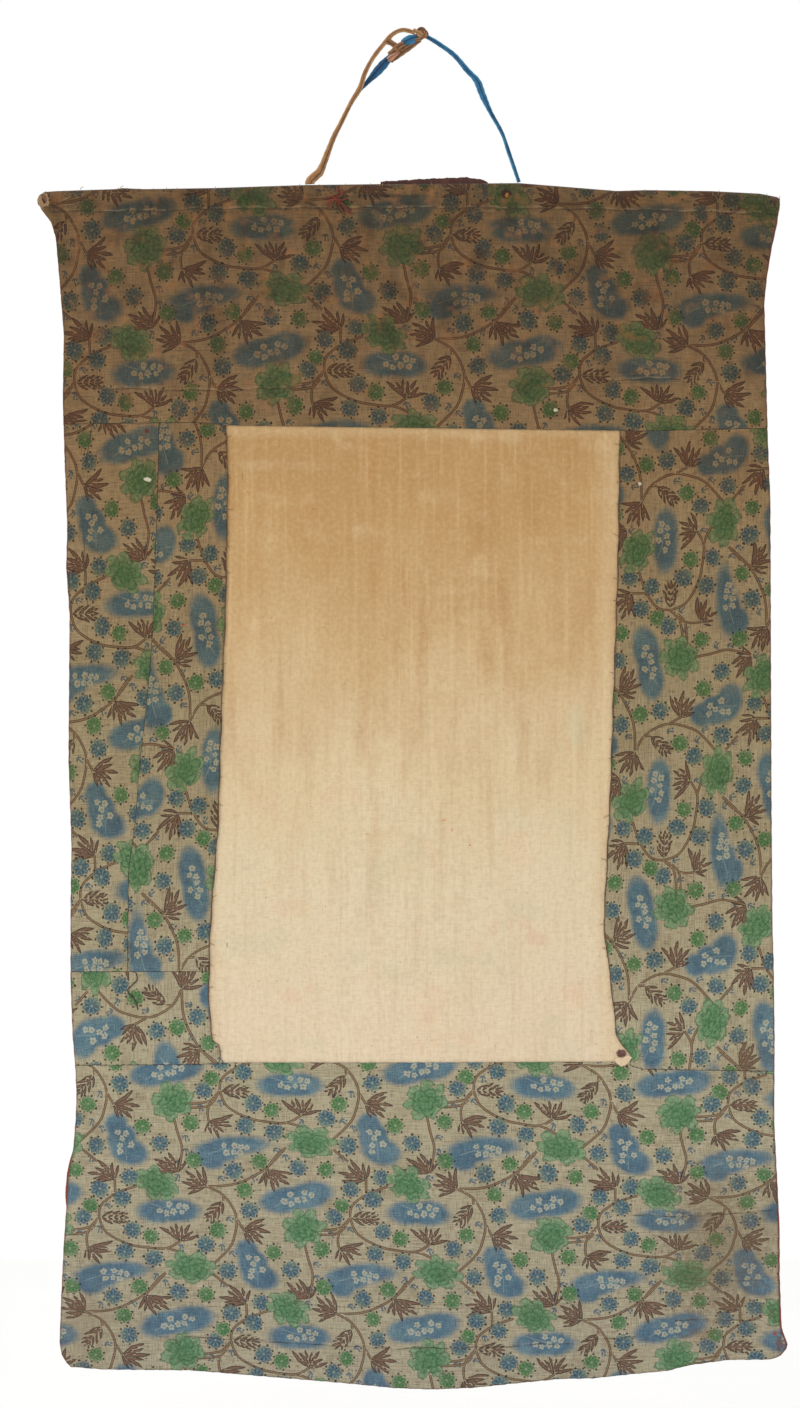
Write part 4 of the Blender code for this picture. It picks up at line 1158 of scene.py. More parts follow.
def cotton_finish():
    """Plain-woven cotton with a block-printed trail of flowers, browned by smoke from the top down."""
    paint = Paint("printed_cotton", Sheen_Weight=0.1, Specular_IOR_Level=0.3)
    noise, rise, mix, coat = paint.noise, paint.rise, paint.mix, paint.coat
    thread = paint.read("thread")
    z = paint.split(paint.place)[2]
    jitter_x, jitter_y, _ = paint.centred(noise(5.0, 2.0, thread, "Color"))
    warp = noise((0.8, 11.0, 1.0), 2.0, thread)
    weft = noise((11.0, 0.8, 1.0), 2.0, thread)
    weave = warp * 0.5 + weft * 0.5
    fuzz = noise(1.3, 2.0, thread)
    patch = noise(26.0, 3.0, thread)

    slub = noise((46.0, 1.3, 1.0), 2.0, thread)
    paint.colour = paint.ramp(weave * 0.7 + slub * 0.3, (0.36, dye(158, 148, 129)),
                              (0.5, dye(197, 187, 166)), (0.64, dye(222, 213, 195)))
    pink = rise(noise(3.6, 3.0, thread), 0.56, 0.7) * rise(patch, 0.42, 0.6)
    coat(pink * 0.4, 196, 140, 118)

    def shaken(name, far_x, far_y):
        """A motif's own coordinates, moved a little as the cloth gives under the block."""
        first, second, third = paint.split(paint.read(name))
        return first + jitter_x * far_x, second + jitter_y * far_y, third

    # Clouds of blue, sprayed through a stencil, with soft rims
    depth, _, _ = shaken("cloud", 3.0, 0.0)
    cloud = rise(depth + (patch - 0.5) * 4.0, -2.6, 4.2)
    blue = paint.ramp(patch * 0.4 + weave * 0.35 + fuzz * 0.25, (0.38, dye(54, 99, 140)),
                      (0.5, dye(78, 126, 162)), (0.62, dye(121, 159, 182)))
    coat(cloud * 0.92, blue)

    # Small blue sprigs, each an arch over a short stem with a dot beside it
    sx, sy, _ = shaken("sprig", 1.8, 1.8)
    arch = rise(abs(apart(sx, sy) - 2.4), 1.15, 0.4) * rise(sy, 0.5, -0.4)
    stalk = rise(abs(sx - sy * 0.2), 1.0, 0.35) * rise(abs(sy - 0.8), 4.2, 3.3)
    bud = rise(apart(sx - 3.4, sy - 2.0), 1.5, 0.8)
    coat(arch.most(stalk, bud) * (0.6 + fuzz * 0.6), 72, 106, 138)

    # Brown leaves: slender blades that fan from a base, or slant from a midrib, darker at their rims
    run, offset, length = shaken("leaf", 1.2, 1.3)
    aside = abs(offset)
    share = run / length
    full = share * (1.02 - share) * 4.0
    wide = full.most(0.0) ** 0.6 * (length * 0.06 + 0.8)
    leaf = rise(wide - aside, -0.1, 0.4) * rise(share, 0.0, 0.03)
    rims = rise(wide - aside, 1.3, 0.8)
    leaf_colour = mix(rims, dye(136, 102, 90), dye(58, 36, 33))
    coat(leaf * 0.94, leaf_colour)

    # Vines: two dark lines with a tan core
    run, offset, length = shaken("vine", 0.0, 0.4)
    aside = abs(offset)
    ends = rise(run, -0.6, 0.2) * rise(length - run, -0.6, 0.2)
    vine = rise(aside, 1.5, 1.05) * ends
    brown = mix(rise(aside, 0.3, 0.75), dye(168, 138, 112), dye(78, 50, 44))
    stem_colour = mix(cloud, brown, dye(160, 184, 192))
    coat(vine * (0.94 - cloud * 0.4), stem_colour)

    # Rosettes of blue or green with a ring of black dots, and the pale blossoms in the clouds. The code
    # is the kind of flower and, after the point, a share that is its own
    fx, fy, code = paint.split(paint.read("flower"))
    kind = code.work("FLOOR")
    seed = code - kind
    is_green = rise(kind, 0.4, 0.6) * rise(kind, 1.6, 1.4)
    is_pale = rise(kind, 1.4, 1.6)
    fx = fx + jitter_x * (0.36 + is_pale * 0.9)
    fy = fy + jitter_y * (0.36 + is_pale * 0.9)
    away = apart(fx, fy)
    turn = fy.work("ARCTAN2", fx) * (4.0 - is_pale * 1.5) / math.pi + seed * 8.0
    petal = abs(turn.work("FRACT") - 0.5) * 2.0
    rim = 0.99 - petal ** 2.2 * (0.26 + is_pale * 0.1) + (fuzz - 0.5) * 0.4
    flower = rise(rim - away, -0.04, 0.12)
    notch = rise(petal, 0.6, 0.95) * rise(away, 0.2, 0.45)
    streak = rise(petal, 0.5, 0.1) * rise(abs(away - 0.56), 0.34, 0.16)
    heading = seed * (2.0 * math.pi)
    tilt = heading.work("COSINE") * fx + heading.work("SINE") * fy
    faded = rise(tilt + (fuzz - 0.5) * 1.4, 0.05, 0.8)
    petal_blue = mix(notch, dye(62, 108, 138), dye(34, 70, 98))
    petal_blue = mix(streak * (0.2 + fuzz * 0.8), petal_blue, dye(136, 170, 184))
    petal_green = mix(notch, dye(76, 136, 84), dye(42, 100, 58))
    petal_green = mix(streak * fuzz * 0.7, petal_green, dye(132, 184, 134))
    petals = mix(is_green, petal_blue, petal_green)
    petals = mix(faded * 0.4, petals, dye(158, 180, 152))
    petals = mix(is_pale, petals, dye(208, 210, 200))
    heart = rise(away, 0.42, 0.2) * is_pale
    petals = mix(heart * 0.8, petals, dye(160, 146, 134))
    eye = rise(away, 0.2, 0.08) * (1.0 - is_pale)
    petals = mix(eye * 0.6, petals, dye(188, 202, 190))
    coat(flower * (0.93 - is_pale * 0.12), petals)
    spin = (1.0 - petal) * (math.pi / 8.0) * away
    dot = rise(apart(spin, away - 1.03), 0.17, 0.09)
    coat(dot * (1.0 - is_pale) * 0.92, 34, 44, 46)

    # Green peonies: ragged outer petals round a crumpled middle, with the folds a little darker
    px, py, seed = shaken("peony", 0.12, 0.12)
    crumple_x, crumple_y, _ = paint.centred(noise(8.0, 3.0, thread, "Color"))
    px = px + crumple_x * 0.5
    py = py + crumple_y * 0.5
    mottle = noise(3.4, 3.0, thread)
    for count, radius, shift_y, phase, pale, deep in (
            (7.0, 1.0, 0.0, 0.2, (158, 188, 156), (92, 148, 108)),
            (5.0, 0.7, 0.08, 0.55, (128, 172, 134), (68, 130, 86)),
            (4.0, 0.42, 0.14, 0.1, (120, 168, 126), (58, 118, 76))):
        ry = py - shift_y
        away = apart(px, ry)
        turn = ry.work("ARCTAN2", px) * (count / (2.0 * math.pi)) + phase + seed * 3.0
        petal = abs(turn.work("FRACT") - 0.5) * 2.0
        inside = radius * (1.0 - petal ** 2.0 * 0.28) + (fuzz - 0.5) * 0.16 - away
        body = rise(inside, -0.01, 0.05)
        fold = rise(inside, 0.13, 0.04)
        vein = rise(petal, 0.76, 0.94) * rise(away, radius * 0.3, radius * 0.6)
        rib = rise(abs(petal - 0.36), 0.1, 0.03) * rise(abs(away - radius * 0.72), 0.16, 0.08)
        fold = fold.most(vein.most(rib * 0.5))
        paleness = rise(inside, 0.46, 0.1) * 0.8 + rise(mottle, 0.44, 0.6) * 0.5 - 0.15
        tone = mix(paleness, dye(*deep), dye(*pale))
        tone = mix(fold * 0.8, tone, dye(50, 106, 68))
        coat(body * 0.92, tone)

    # The dye lies on the raised threads, and is rubbed off them in places; the hollows between the threads are
    # darkened with painted shade
    rubbed = rise(weave * 0.5 + fuzz * 0.5, 0.5, 0.66)
    coat(rubbed * 0.26, 204, 194, 172)
    coat(rise(weave, 0.47, 0.34) * 0.34, 74, 68, 60)

    # Smoke and damp have browned the cloth, most of all along the top; after that come painted shade along the seams
    # and tucks, and a painted highlight above the tucks
    brink, tuck, worn = paint.split(paint.read("brink"))
    cloudy = noise(80.0, 4.0)
    level = (0.0 - z) / 1350.0 + (cloudy - 0.5) * 0.16
    smoke = paint.ramp(
        level, (0.1, (0.238, 0.148, 0.072)), (0.2, (0.29, 0.186, 0.1)), (0.32, (0.388, 0.27, 0.154)),
        (0.5, (0.47, 0.402, 0.272)), (0.75, (0.62, 0.606, 0.506)), (1.0, (0.575, 0.568, 0.51)))
    paint.colour = mix(1.0, paint.colour, smoke, "MULTIPLY")
    high = rise(z, -480.0, -240.0)
    soot = noise((9.0, 20.0, 34.0), 4.0)
    coat(high * rise(soot, 0.35, 0.75) * 0.42, 70, 54, 36)
    rust = rise(noise(17.0, 4.0), 0.52, 0.74)
    coat(rust * (high * 0.46 + 0.05) * (1.0 - leaf * 0.8), 136, 90, 50)
    grime = rise(noise(30.0, 5.0), 0.5, 0.7)
    paint.colour = mix(grime * (0.24 + high * 0.4), paint.colour, (0.58, 0.5, 0.42), "MULTIPLY")
    rim_dirt = rise(brink + (fuzz - 0.5) * 3.0, 2.2, 0.0)
    coat(rim_dirt * 0.45, 74, 48, 32)
    broken = rise(noise(12.0, 2.0), 0.36, 0.6)
    # Painted shadow: a dark line along the sewn edges; worn holds the distance to them.
    seam_shadow = rise(worn, 0.6, 0.15) * (0.15 + broken * 0.4)
    coat(seam_shadow, 56, 42, 34)
    # Painted shade: a dark line in the fold of each tuck.
    crease = rise(abs(tuck), 0.9, 0.25) * broken
    coat(crease * 0.6, 58, 44, 34)
    # Painted highlight: a paler band on the bulge just above each tuck.
    fold_highlight = rise(tuck, -3.4, -1.2) * rise(tuck, -0.5, -1.3)
    coat(fold_highlight * (1.0 - broken) * 0.16, 196, 172, 136)
    step = rise(tuck, -9.0, -0.8) * rise(tuck, 0.9, -0.3)
    lay_spots(paint, STAINS_AND_SHADOW, jitter_x * 1.6, jitter_y * 1.6, (fuzz - 0.5) * 0.5, (0.72, 0.1))
    height = weave * 0.36 + fuzz * 0.14 + patch * 0.7 + step * 0.5 - crease * 0.5
    return paint.finish(height, Roughness=0.8 + weave * 0.16)


def chart_reader(marks):
    """How the print lies on a panel: from a few junctions seen on it, to anywhere on the panel."""
    chart = np.array([(REPEAT_ALONG * turn, REPEAT_DOWN * row) for turn, row, x, drop in marks])
    seen = np.array([(x, drop) for turn, row, x, drop in marks])
    square = np.c_[seen, np.ones(len(seen))]
    even = np.linalg.lstsq(square, chart, rcond=None)[0]
    rest = chart - square @ even

    def read(x, drop):
        at = np.c_[x.ravel(), drop.ravel()]
        found = np.c_[at, np.ones(len(at))] @ even
        weights = np.exp(-((at[:, None, :] - seen[None]) ** 2).sum(-1) / (2.0 * CHART_SPREAD ** 2))
        return found + (weights @ rest) / (weights.sum(axis=1) + 0.15)[:, None]
    return read


# Tucks taken in the panels to make them fit: each a line (x, drop)
LEFT_TUCK = ((-312, 350), (-240, 352.5), (-180, 353), (-106, 349))
TUCKS = (
    ((-359, 173.8), (-262, 173.7), (-200, 171.4), (-60, 170.4), (60, 170.2), (200, 172),
     (356, 176)),
    ((-359, 170), (-343, 163.4), (-326, 156.4)),
    LEFT_TUCK,
    ((196, 343), (230, 341.5), (274, 341)),
    ((222, 1177), (262, 1178.5), (308, 1176), (366, 1172)),
    ((-249, 1298), (-176, 1301), (-98, 1306), (-8, 1310), (80, 1309), (163, 1305)),
    ((170, 1303.5), (229, 1298)),
    ((265, 1282), (310, 1281), (354, 1282), (362, 1288)),
)
# Soft creases, as (x, drop, x, drop, half width, height)
CREASES = (
    (-315, 390, -331, 475, 3, 0.8), (-331, 475, -320, 575, 3, 0.7),
    (-330, 210, -300, 330, 7, 0.7), (-220, 200, -205, 330, 9, 0.6),
    (300, 200, 335, 330, 8, 0.8), (100, 190, 92, 320, 10, 0.5),
    (-30, 185, -60, 300, 9, 0.5), (316, 1174, 368, 1172, 4, 0.6),
    (-320, 1060, -240, 1140, 8, 0.8), (-120, 1070, -150, 1290, 10, 0.8),
    (60, 1060, 90, 1290, 10, 0.8), (250, 1060, 240, 1160, 9, 0.7),
    (330, 700, 345, 900, 7, 0.7), (-320, 640, -300, 820, 6, 0.7),
    (240, 430, 330, 520, 8, 0.6), (-230, 470, -215, 640, 6, 0.6),
)


def tuck_offset(x, drop):
    """How far below the nearest tuck a place lies, or far away where no tuck is near."""
    found = np.full(x.shape, NOWHERE_NEAR)
    for line in TUCKS:
        places, drops = zip(*line)
        offset = drop - np.interp(x, places, drops)
        offset = offset + 0.5 * np.sin(0.11 * x) + 0.35 * np.sin(0.29 * x + 1.0)
        inside = (x > places[0]) & (x < places[-1]) & (np.abs(offset) < np.abs(found))
        found = np.where(inside, offset, found)
    return found


def relief(x, drop):
    """How far creases and tucks lift the lining off what lies under it."""
    tuck = tuck_offset(x, drop)
    total = 0.7 * np.exp(-np.clip(-tuck, 0.0, 60.0) / 6.0) * (tuck < 0.4)
    for x1, drop1, x2, drop2, half_width, height in CREASES:
        long = math.hypot(x2 - x1, drop2 - drop1)
        way_x, way_d = (x2 - x1) / long, (drop2 - drop1) / long
        run = np.clip((x - x1) * way_x + (drop - drop1) * way_d, 0.0, long)
        far = np.hypot(x - x1 - run * way_x, drop - drop1 - run * way_d)
        fade = np.sin(math.pi * np.clip(run / long, 0.02, 0.98)) ** 0.7
        total = total + height * fade * np.exp(-(far / half_width) ** 2)
    total = total + 0.22 * (1.0 + np.sin(0.16 * x + 0.05 * drop) * np.sin(0.13 * drop - 0.04 * x))
    return total


def lining_back(x, drop):
    """Where the lining's hidden face lies, before creases and tucks lift it."""
    return hang(x, drop) - 0.15 - canvas_lift(x, drop) - sleeve_bulge(x, drop)


cotton = cotton_finish()


def sew_lining(name, node, left, right, top, bottom, marks, flat, area, middle, open_sides,
               cap=0.0, sleeve=False, with_pieces=()):
    """One panel of the lining, with its print."""
    cut = Cloth(left, right, top, bottom, LINING_CELL, *middle)
    lifted = relief(cut.x, cut.drop) * smooth(cut.brink / 4.0)
    allowance = 0.35 * np.exp(-(cut.brink / 6.0) ** 2)
    near = lining_back(cut.x, cut.drop)
    if sleeve:
        below = cut.drop - read_axis(cut.x) - SLEEVE_SEAM_BELOW_AXIS
        lifted = lifted * smooth(below / 10.0) + 0.5 * np.exp(-((below - 3.2) / 2.6) ** 2)
    made = cut.make(name, near - lifted - allowance, LINING_THICK, -1.0, cotton, "printed_cotton", cap)
    chart = chart_reader(marks)(cut.x, cut.drop)
    chart = np.concatenate([chart, chart])
    depth = print_cotton(made.data, chart, cut.faces)
    flat_zero = np.zeros(len(chart))
    mark_points(made.data, "thread", np.stack([chart[:, 0], chart[:, 1], flat_zero], axis=1))
    mark_points(made.data, "cloud", np.stack([depth, flat_zero, flat_zero], axis=1))
    free = np.min([far for side, far in cut.sides.items() if side in open_sides], axis=0)
    sewn = np.min([far for side, far in cut.sides.items() if side not in open_sides], axis=0)
    edge_tuck_seam_reach = [np.tile(value.ravel(), 2) for value in (free, tuck_offset(cut.x, cut.drop), sewn)]
    mark_points(made.data, "brink", np.stack(edge_tuck_seam_reach, axis=1))
    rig.replaces(made, node)
    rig.sheet(made, flat=flat, held="hung", rests_on=["canvas_back", "silk_top"], area=area,
             with_pieces=with_pieces)


# Sewing and wear: dark and red running stitches, a red tie that closes the sleeve, a loose black
# thread, rolled raw edges round the window, and the frayed ends that stand out from them. All are
# twisted cotton, sewn by hand through the lining.
THREAD_SIDES = 6


def lay_threads(name, routes, radius, cloth):
    """Threads laid as fine tubes that taper at both ends, all in one mesh."""
    points, faces, runs = [], [], []
    for route in routes:
        line = np.array(curve_through(route, 0.8 + radius))
        ahead = np.gradient(line, axis=0)
        ahead /= np.linalg.norm(ahead, axis=1)[:, None] + 1e-9
        first = np.cross(ahead, (0.1, 0.2, 1.0))
        first /= np.linalg.norm(first, axis=1)[:, None]
        second = np.cross(ahead, first)
        for step, place in enumerate(line):
            share = step / (len(line) - 1)
            size = radius * min(1.0, 0.35 + 9.0 * share, 0.35 + 9.0 * (1.0 - share))
            for side in range(THREAD_SIDES):
                angle = 2.0 * math.pi * side / THREAD_SIDES
                edge = place + size * (math.cos(angle) * first[step] + math.sin(angle) * second[step])
                points.append(spot(*edge))
                runs.append((3.0 * step, math.cos(angle), radius))
        faces += tube_faces(len(line), THREAD_SIDES, len(points) - THREAD_SIDES * len(line), True)
    return make_piece(name, points, faces, cloth.material, "printed_cotton", runs)


def on_lining(x, drop, proud=0.3):
    """A place just above the lining's visible face."""
    at_x, at_drop = np.array([x]), np.array([drop])
    below = drop - float(read_axis(x)) - SLEEVE_SEAM_BELOW_AXIS
    lifted = relief(at_x, at_drop)[0] * float(smooth(below / 10.0))
    return (x, drop, float(lining_back(at_x, at_drop)[0]) - lifted - LINING_THICK - 0.25 - proud)


def laid(places, proud=0.3):
    """A thread's route over places on the lining."""
    return [on_lining(x, drop, proud) for x, drop in places]


def running_stitch(line, pitch, long, sway=0.5):
    """Short stitches along a line, each rising from the cloth and going back into it."""
    route = np.array(curve_through([(*place, 0.0) for place in line], pitch))
    found = []
    for here, after in zip(route, route[1:]):
        if chance(here[0], here[1]) < 0.12:
            continue
        way = (after - here) / np.linalg.norm(after - here)
        slip = sway * (chance(here[1], here[0]) - 0.5)
        here = here[:2] + slip * np.array((-way[1], way[0]))
        found.append([on_lining(*(here + way[:2] * far), up)
                      for far, up in ((0.0, -0.35), (0.3 * long, 0.2), (0.7 * long, 0.2), (long, -0.35))])
    return found


def frays(edge, first, last, pitch, way_x, way_drop, long, proud=0.2):
    """Loose ends of thread that stand from a cut edge, each with its own length and lean."""
    found = []
    for place in np.arange(first, last, pitch):
        luck, lean = chance(place, long), chance(long, place)
        place = place + pitch * (luck - 0.5)
        x, drop = edge(place)
        reach = long * (0.3 + luck * luck)
        side = (lean - 0.5) * reach * 1.3
        step_x, step_drop = way_x * reach + way_drop * side, way_drop * reach + way_x * side
        found.append(laid(((x - way_x * 1.5, drop - way_drop * 1.5),
                           (x + 0.45 * step_x + 0.15 * side, drop + 0.5 * step_drop),
                           (x + step_x, drop + step_drop)), proud))
    return found


dark_thread = strip_finish("dark_thread", dye(26, 20, 16), dye(46, 36, 28), dye(84, 66, 50))
pale_thread = strip_finish("pale_thread", dye(84, 62, 40), dye(140, 108, 72), dye(186, 152, 108))
edge_thread = strip_finish("edge_thread", dye(52, 32, 20), dye(98, 66, 42), dye(150, 110, 72))
red_thread = strip_finish("red_thread", dye(58, 20, 12), dye(120, 44, 24), dye(156, 80, 48))

sleeve_line = [(x, float(read_axis(x)) + SLEEVE_SEAM_BELOW_AXIS - 0.6)
               for x in np.arange(-352.0, 360.0, 30.0)]
sleeve_stitches = lay_threads("sleeve_stitches", running_stitch(sleeve_line, 5.6, 3.0), 0.34, edge_thread)
loose_ends = frays(lambda x: (x, float(read_top(x)) + 1.0), -366.0, 368.0, 12.0, 0.0, -1.0, 2.0, 1.0)
for x, drop in ((-326.0, 153.5), (-286.0, 152.5)):
    loose_ends.append(laid(((x, drop), (x - 1.2, drop - 3.0), (x + 1.8, drop - 4.7))))
top_frays = lay_threads("top_frays", loose_ends, 0.3, pale_thread)

# The red tie's short twisted limbs: from its middle, each runs through a bend to an end
TIE_MIDDLE = (-71.0, 161.0)
TIE = (
    ((-69.6, 155), (-70.6, 149.2)), ((-66, 156), (-66.4, 151)), ((-77, 162.4), (-81.4, 167.4)),
    ((-76.4, 158.8), (-80, 160.6)), ((-66, 167), (-60, 174.6)), ((-63.6, 167.6), (-56.8, 176.4)),
    ((-68, 170), (-62.6, 176.6)), ((-65.6, 162.6), (-61.2, 160.4)), ((-78, 166), (-79.4, 171.6)),
    ((-72.4, 166), (-70, 170.6)),
)
tie_limbs = []
for number, limb in enumerate(TIE):
    for strand in range(3):
        sway = 1.3 * (chance(number, strand) - 0.5)
        tie_limbs.append([on_lining(x + sway * far, drop + sway * 0.7 * far, 0.5 + 0.8 * (2 - far))
                          for far, (x, drop) in enumerate((TIE_MIDDLE, *limb))])
red_tie = lay_threads("red_tie", tie_limbs, 0.6, red_thread)

# A roll of pale, frayed cloth is stuffed into each end of the sleeve
left_end = wrapped_lump("sleeve_left_end", (-364.0, 163.2, 0.0), (6.6, 7.6, 4.9), 3.0, 0.4,
                        edge_thread.material, "printed_cotton")
right_end = wrapped_lump("sleeve_right_end", (366.0, 165.2, 0.0), (5.4, 6.6, 4.9), 3.0, 0.6,
                         edge_thread.material, "printed_cotton")
tuck_stitches = lay_threads("tuck_stitches", running_stitch(LEFT_TUCK, 9.0, 4.2), 0.28, pale_thread)
top_sewing = [sleeve_stitches, top_frays, red_tie, left_end, right_end, tuck_stitches]


def side_edge(table):
    """The place on an upright edge at one drop."""
    return lambda drop: (float(edge_along(table)(drop)), drop)


strip_creases = [laid(((-315.6, 386.0), (-318.6, 404.0), (-322.4, 426.0)), -0.15),
                 laid(((-324.4, 498.0), (-322.6, 524.0), (-320.6, 568.0)), -0.15)]
strip_line = [(x + 1.4, drop) for drop, x in STRIP_SEAM]
strip_stitches = lay_threads("strip_stitches", running_stitch(strip_line, 9.0, 2.6) + strip_creases, 0.24,
                             dark_thread)
black_thread = lay_threads(
    "black_thread", [laid(((-272.0, 934.0), (-271.0, 942.0), (-280.0, 952.0), (-274.0, 960.0))),
                     laid(((-274.6, 958.0), (-271.6, 965.0), (-270.0, 972.0)), 0.5)], 0.55, dark_thread)
window_pieces = {}
for side, table, first, last, way in (("left", WINDOW_LEFT_EDGE, 388.0, 1020.0, 1.0),
                                      ("right", WINDOW_RIGHT_EDGE, 394.0, 1018.0, -1.0)):
    read_edge = side_edge(table)
    wander = [read_edge(drop) for drop in np.arange(first, last, 9.0)]
    rolled = laid([(x + 0.5 * math.sin(0.13 * drop), drop) for x, drop in wander], -0.1)
    loose = frays(read_edge, first + 4.0, last, 23.0, way, 0.0, 5.0, -0.7)
    window_pieces[side] = [lay_threads("window_roll_" + side, [rolled], 0.42, edge_thread),
                           lay_threads("window_frays_" + side, loose, 0.24, pale_thread)]
side_sewing = [strip_stitches, *window_pieces["left"]]
left_seam = [(-330.0, 1027.0), (-292.0, 1026.6), (-210.0, 1026.4), (-184.0, 1025.0)]
lower_sewing = [black_thread, lay_threads("left_seam_stitches", running_stitch(left_seam, 7.4, 2.8), 0.22,
                                          dark_thread)]
right_seam = [(212.0, 1024.5), (232.0, 1029.5), (270.0, 1030.8), (330.0, 1032.0), (362.0, 1032.6)]
corner_dashes = [[on_lining(x, drop), on_lining(x + 2.0, drop + 0.4, 0.5), on_lining(x + 3.8, drop + 0.2)]
                 for x, drop in ((202.0, 1026.0), (207.5, 1028.0), (213.5, 1028.6), (219.0, 1029.8))]
hem_line = [(-330.0, 1318.0), (-249.0, 1321.0), (-176.0, 1324.0), (-98.0, 1329.0), (-8.0, 1333.0),
            (80.0, 1332.0), (163.0, 1327.0), (229.0, 1318.0)]

# The canvas's lower corner is folded out over the lining: a small flap with a softly lifted edge,
# held by the seam's last dashes
FLAP = ((206.0, 1021.6), (213.0, 1017.5), (220.0, 1017.0), (224.0, 1019.4), (219.6, 1025.8), (213.8, 1028.8),
        (208.6, 1025.4))
FLAP_RINGS = (0.02, 0.35, 0.7, 0.92, 1.0)
FLAP_THICK = 0.4
flap_middle = np.mean(FLAP, axis=0)
flap_count = 8 * len(FLAP)
flap_rim = np.array([[along([*axis, axis[0]], step / flap_count) for axis in zip(*FLAP)]
                     for step in range(flap_count)])
flap_points = []
for layer, rings in ((0.0, FLAP_RINGS), (FLAP_THICK, FLAP_RINGS[::-1])):
    for ring in rings:
        for x, drop in flap_middle + (flap_rim - flap_middle) * ring:
            lift = layer * (1.0 - 0.5 * ring ** 6) + 0.3 * ring * math.sin(0.9 * x)
            flap_points.append(spot(*on_lining(x, drop, lift)))
corner_flap = make_piece("corner_flap", flap_points, tube_faces(2 * len(FLAP_RINGS), flap_count),
                         canvas_material, "canvas")
bottom_sewing = [
    corner_flap,
    lay_threads("right_seam_stitches", running_stitch(right_seam, 7.2, 2.6) + corner_dashes, 0.22,
                dark_thread),
    lay_threads("hem_stitches", running_stitch(hem_line, 13.0, 2.6), 0.28, edge_thread),
]

# The six panels of the lining, cut with uneven edges. Each is told where the junctions of its print
# are seen, as (turn, row, x, drop), and which of its sides are cut edges rather than seams.
lining_left_edge = edge_along(LEFT_EDGE, 0.0, 0.22)
lining_right_edge = edge_along(RIGHT_EDGE, 0.0, 0.22)
window_left = edge_along(WINDOW_LEFT_EDGE, 0.0, 0.28)
window_right = edge_along(WINDOW_RIGHT_EDGE, 0.0, 0.28)
sew_lining(
    "lining_top_panel", "lining_top", lining_left_edge, lining_right_edge, edge_along(TOP_EDGE),
    edge_along(UPPER_SEAM, 0.0, 0.1),
    ((0.0, 0, -215.9, 196.3), (1.0, 0, 44.2, 196.7), (2.0, 0, 293.0, 207.9), (-0.5, 1, -333.0, 347.0),
     (0.5, 1, -84.9, 330.8), (1.5, 1, 171.1, 336.0)),
    (0.735, 0.25), 0.172, (0.0, 280.0), "left right top", 1.5, True, top_sewing)
sew_lining(
    "lining_bottom_panel", "lining_bottom", lining_left_edge, lining_right_edge,
    edge_along(LOWER_SEAM, 0.2, 0.1), edge_along(BOTTOM_EDGE, 0.0, 0.15),
    ((0.0, 0, -189.9, 1052.7), (1.0, 0, 66.1, 1048.3), (2.0, 0, 321.6, 1068.0),
     (-0.5, 1, -309.1, 1180.1), (0.5, 1, -58.2, 1180.1), (1.5, 1, 188.5, 1191.2),
     (0.0, 2, -174.6, 1302.8), (1.0, 2, 67.9, 1311.8), (2.0, 2, 314.1, 1305.6)),
    (0.72, 0.33), 0.22, (0.0, 1180.0), "left right bottom", with_pieces=bottom_sewing)
strip_top = edge_along(UPPER_SEAM, 0.2, 0.1)
sew_lining(
    "lining_outer_strip", "lining_left_outer", lining_left_edge, edge_along(STRIP_SEAM, -0.1, 0.1),
    strip_top, line_at(LOWER_PIECE_TOP),
    ((0.0, 0, -337.2, 576.1), (0.0, 2, -327.4, 861.4), (0.5, -1, -224.0, 427.4), (0.5, 1, -215.0, 714.0)),
    (0.09, 0.55), None, (-300.0, 660.0), "left")
sew_lining(
    "lining_inner_strip", "lining_left_inner", edge_along(STRIP_SEAM, 0.1, 0.1), window_left,
    strip_top, line_at(LOWER_PIECE_TOP),
    ((0.0, 0, -190.8, 792.0), (1.0, 0, -179.5, 540.0), (-1.0, 0, -202.0, 1044.0),
     (-0.5, -1, -328.0, 920.0), (0.5, -1, -317.0, 666.0), (1.5, -1, -305.0, 412.0)),
    (0.08, 0.55), None, (-225.0, 660.0), "right", with_pieces=side_sewing)
sew_lining(
    "lining_lower_piece", "lining_left_lower", lining_left_edge, window_left,
    line_at(LOWER_PIECE_TOP + 0.2), edge_along(LOWER_SEAM, 0.0, 0.1),
    ((0.0, 0, -258.7, 842.1), (1.0, 0, -258.7, 1094.0), (0.5, 1, -391.7, 968.0)),
    (0.145, 0.095), None, (-270.0, 980.0), "left right", with_pieces=lower_sewing)
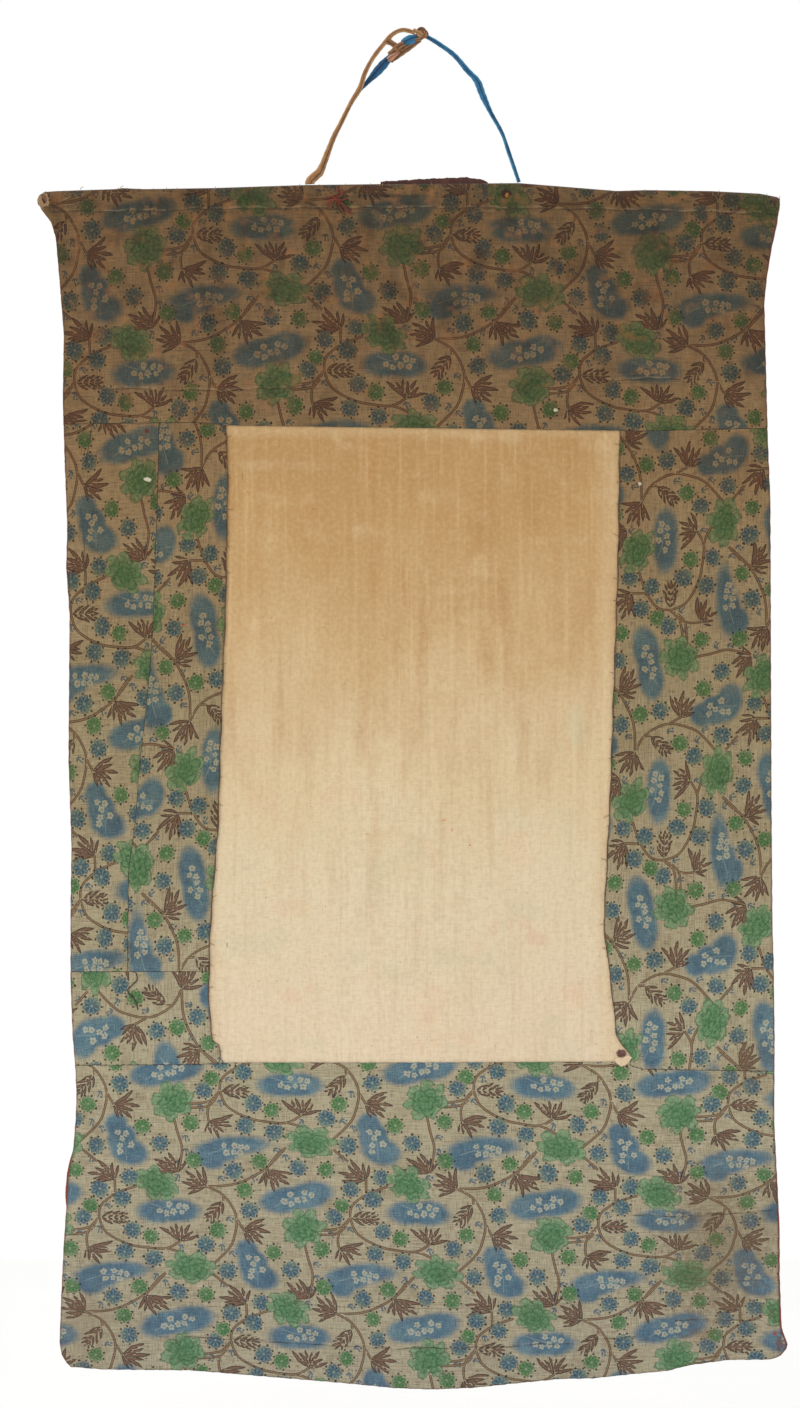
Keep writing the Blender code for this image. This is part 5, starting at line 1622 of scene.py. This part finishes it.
sew_lining(
    "lining_right_strip", "lining_right", window_right, lining_right_edge, strip_top,
    edge_along(LOWER_SEAM, 0.0, 0.1),
    ((0.0, 0, 255.7, 822.3), (1.0, 0, 262.2, 572.2), (-1.0, 0, 249.0, 1072.0),
     (0.5, 1, 386.0, 697.0), (-0.5, 1, 382.0, 947.0)),
    (0.165, 0.645), None, (290.0, 700.0), "left right", with_pieces=window_pieces["right"])

# The floor is a plain pale sheet of paper, laid well below the hem so that nothing touches it. It
# takes no part in the hanging.
floor_mesh = bpy.data.meshes.new("floor")
floor_mesh.from_pydata([(-4.0, -9.0, -1.5), (4.0, -9.0, -1.5), (4.0, 3.0, -1.5), (-4.0, 3.0, -1.5)],
                       [], [(0, 1, 2, 3)])
pale = Paint("pale_floor", Roughness=0.9)
pale_tone = pale.noise(400.0, 2.0)
pale.colour = pale.ramp(pale_tone, (0.0, (0.93, 0.93, 0.92)), (1.0, (0.97, 0.97, 0.96)))
pale.finish(pale_tone * 0.2)
floor_mesh.materials.append(pale.material)
floor = bpy.data.objects.new("floor", floor_mesh)
bpy.context.collection.objects.link(floor)
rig.stage(floor)

# The light is a soft, even studio light that comes a little more from the upper left, so that the
# weave and the tucks show. It is white, and its lamp is large.
world = bpy.data.worlds.new("studio")
bpy.context.scene.world = world
world.use_nodes = True
world.node_tree.nodes["Background"].inputs["Color"].default_value = (1.0, 1.0, 1.0, 1.0)
world.node_tree.nodes["Background"].inputs["Strength"].default_value = 1.0
LAMP_PLACE = np.array((-2.6, -1.9, 1.3))
LAMP_AIM = np.array((0.0, 0.0, -0.7))
lamp_data = bpy.data.lights.new("key", "AREA")
lamp_data.size = 0.9
lamp_data.energy = 34.0
lamp = bpy.data.objects.new("key", lamp_data)
lamp.location = LAMP_PLACE
way = LAMP_AIM - LAMP_PLACE
lamp.rotation_euler = (math.atan2(math.hypot(way[0], way[1]), -way[2]), 0.0, math.atan2(-way[0], way[1]))
bpy.context.collection.objects.link(lamp)
bpy.context.scene.view_settings.view_transform = "Standard"

scene_low, scene_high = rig.bounds()
with open("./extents.json", "w") as kept:
    json.dump({"cad": [list(cad_low), list(cad_high)], "visual": [list(scene_low), list(scene_high)]}, kept)
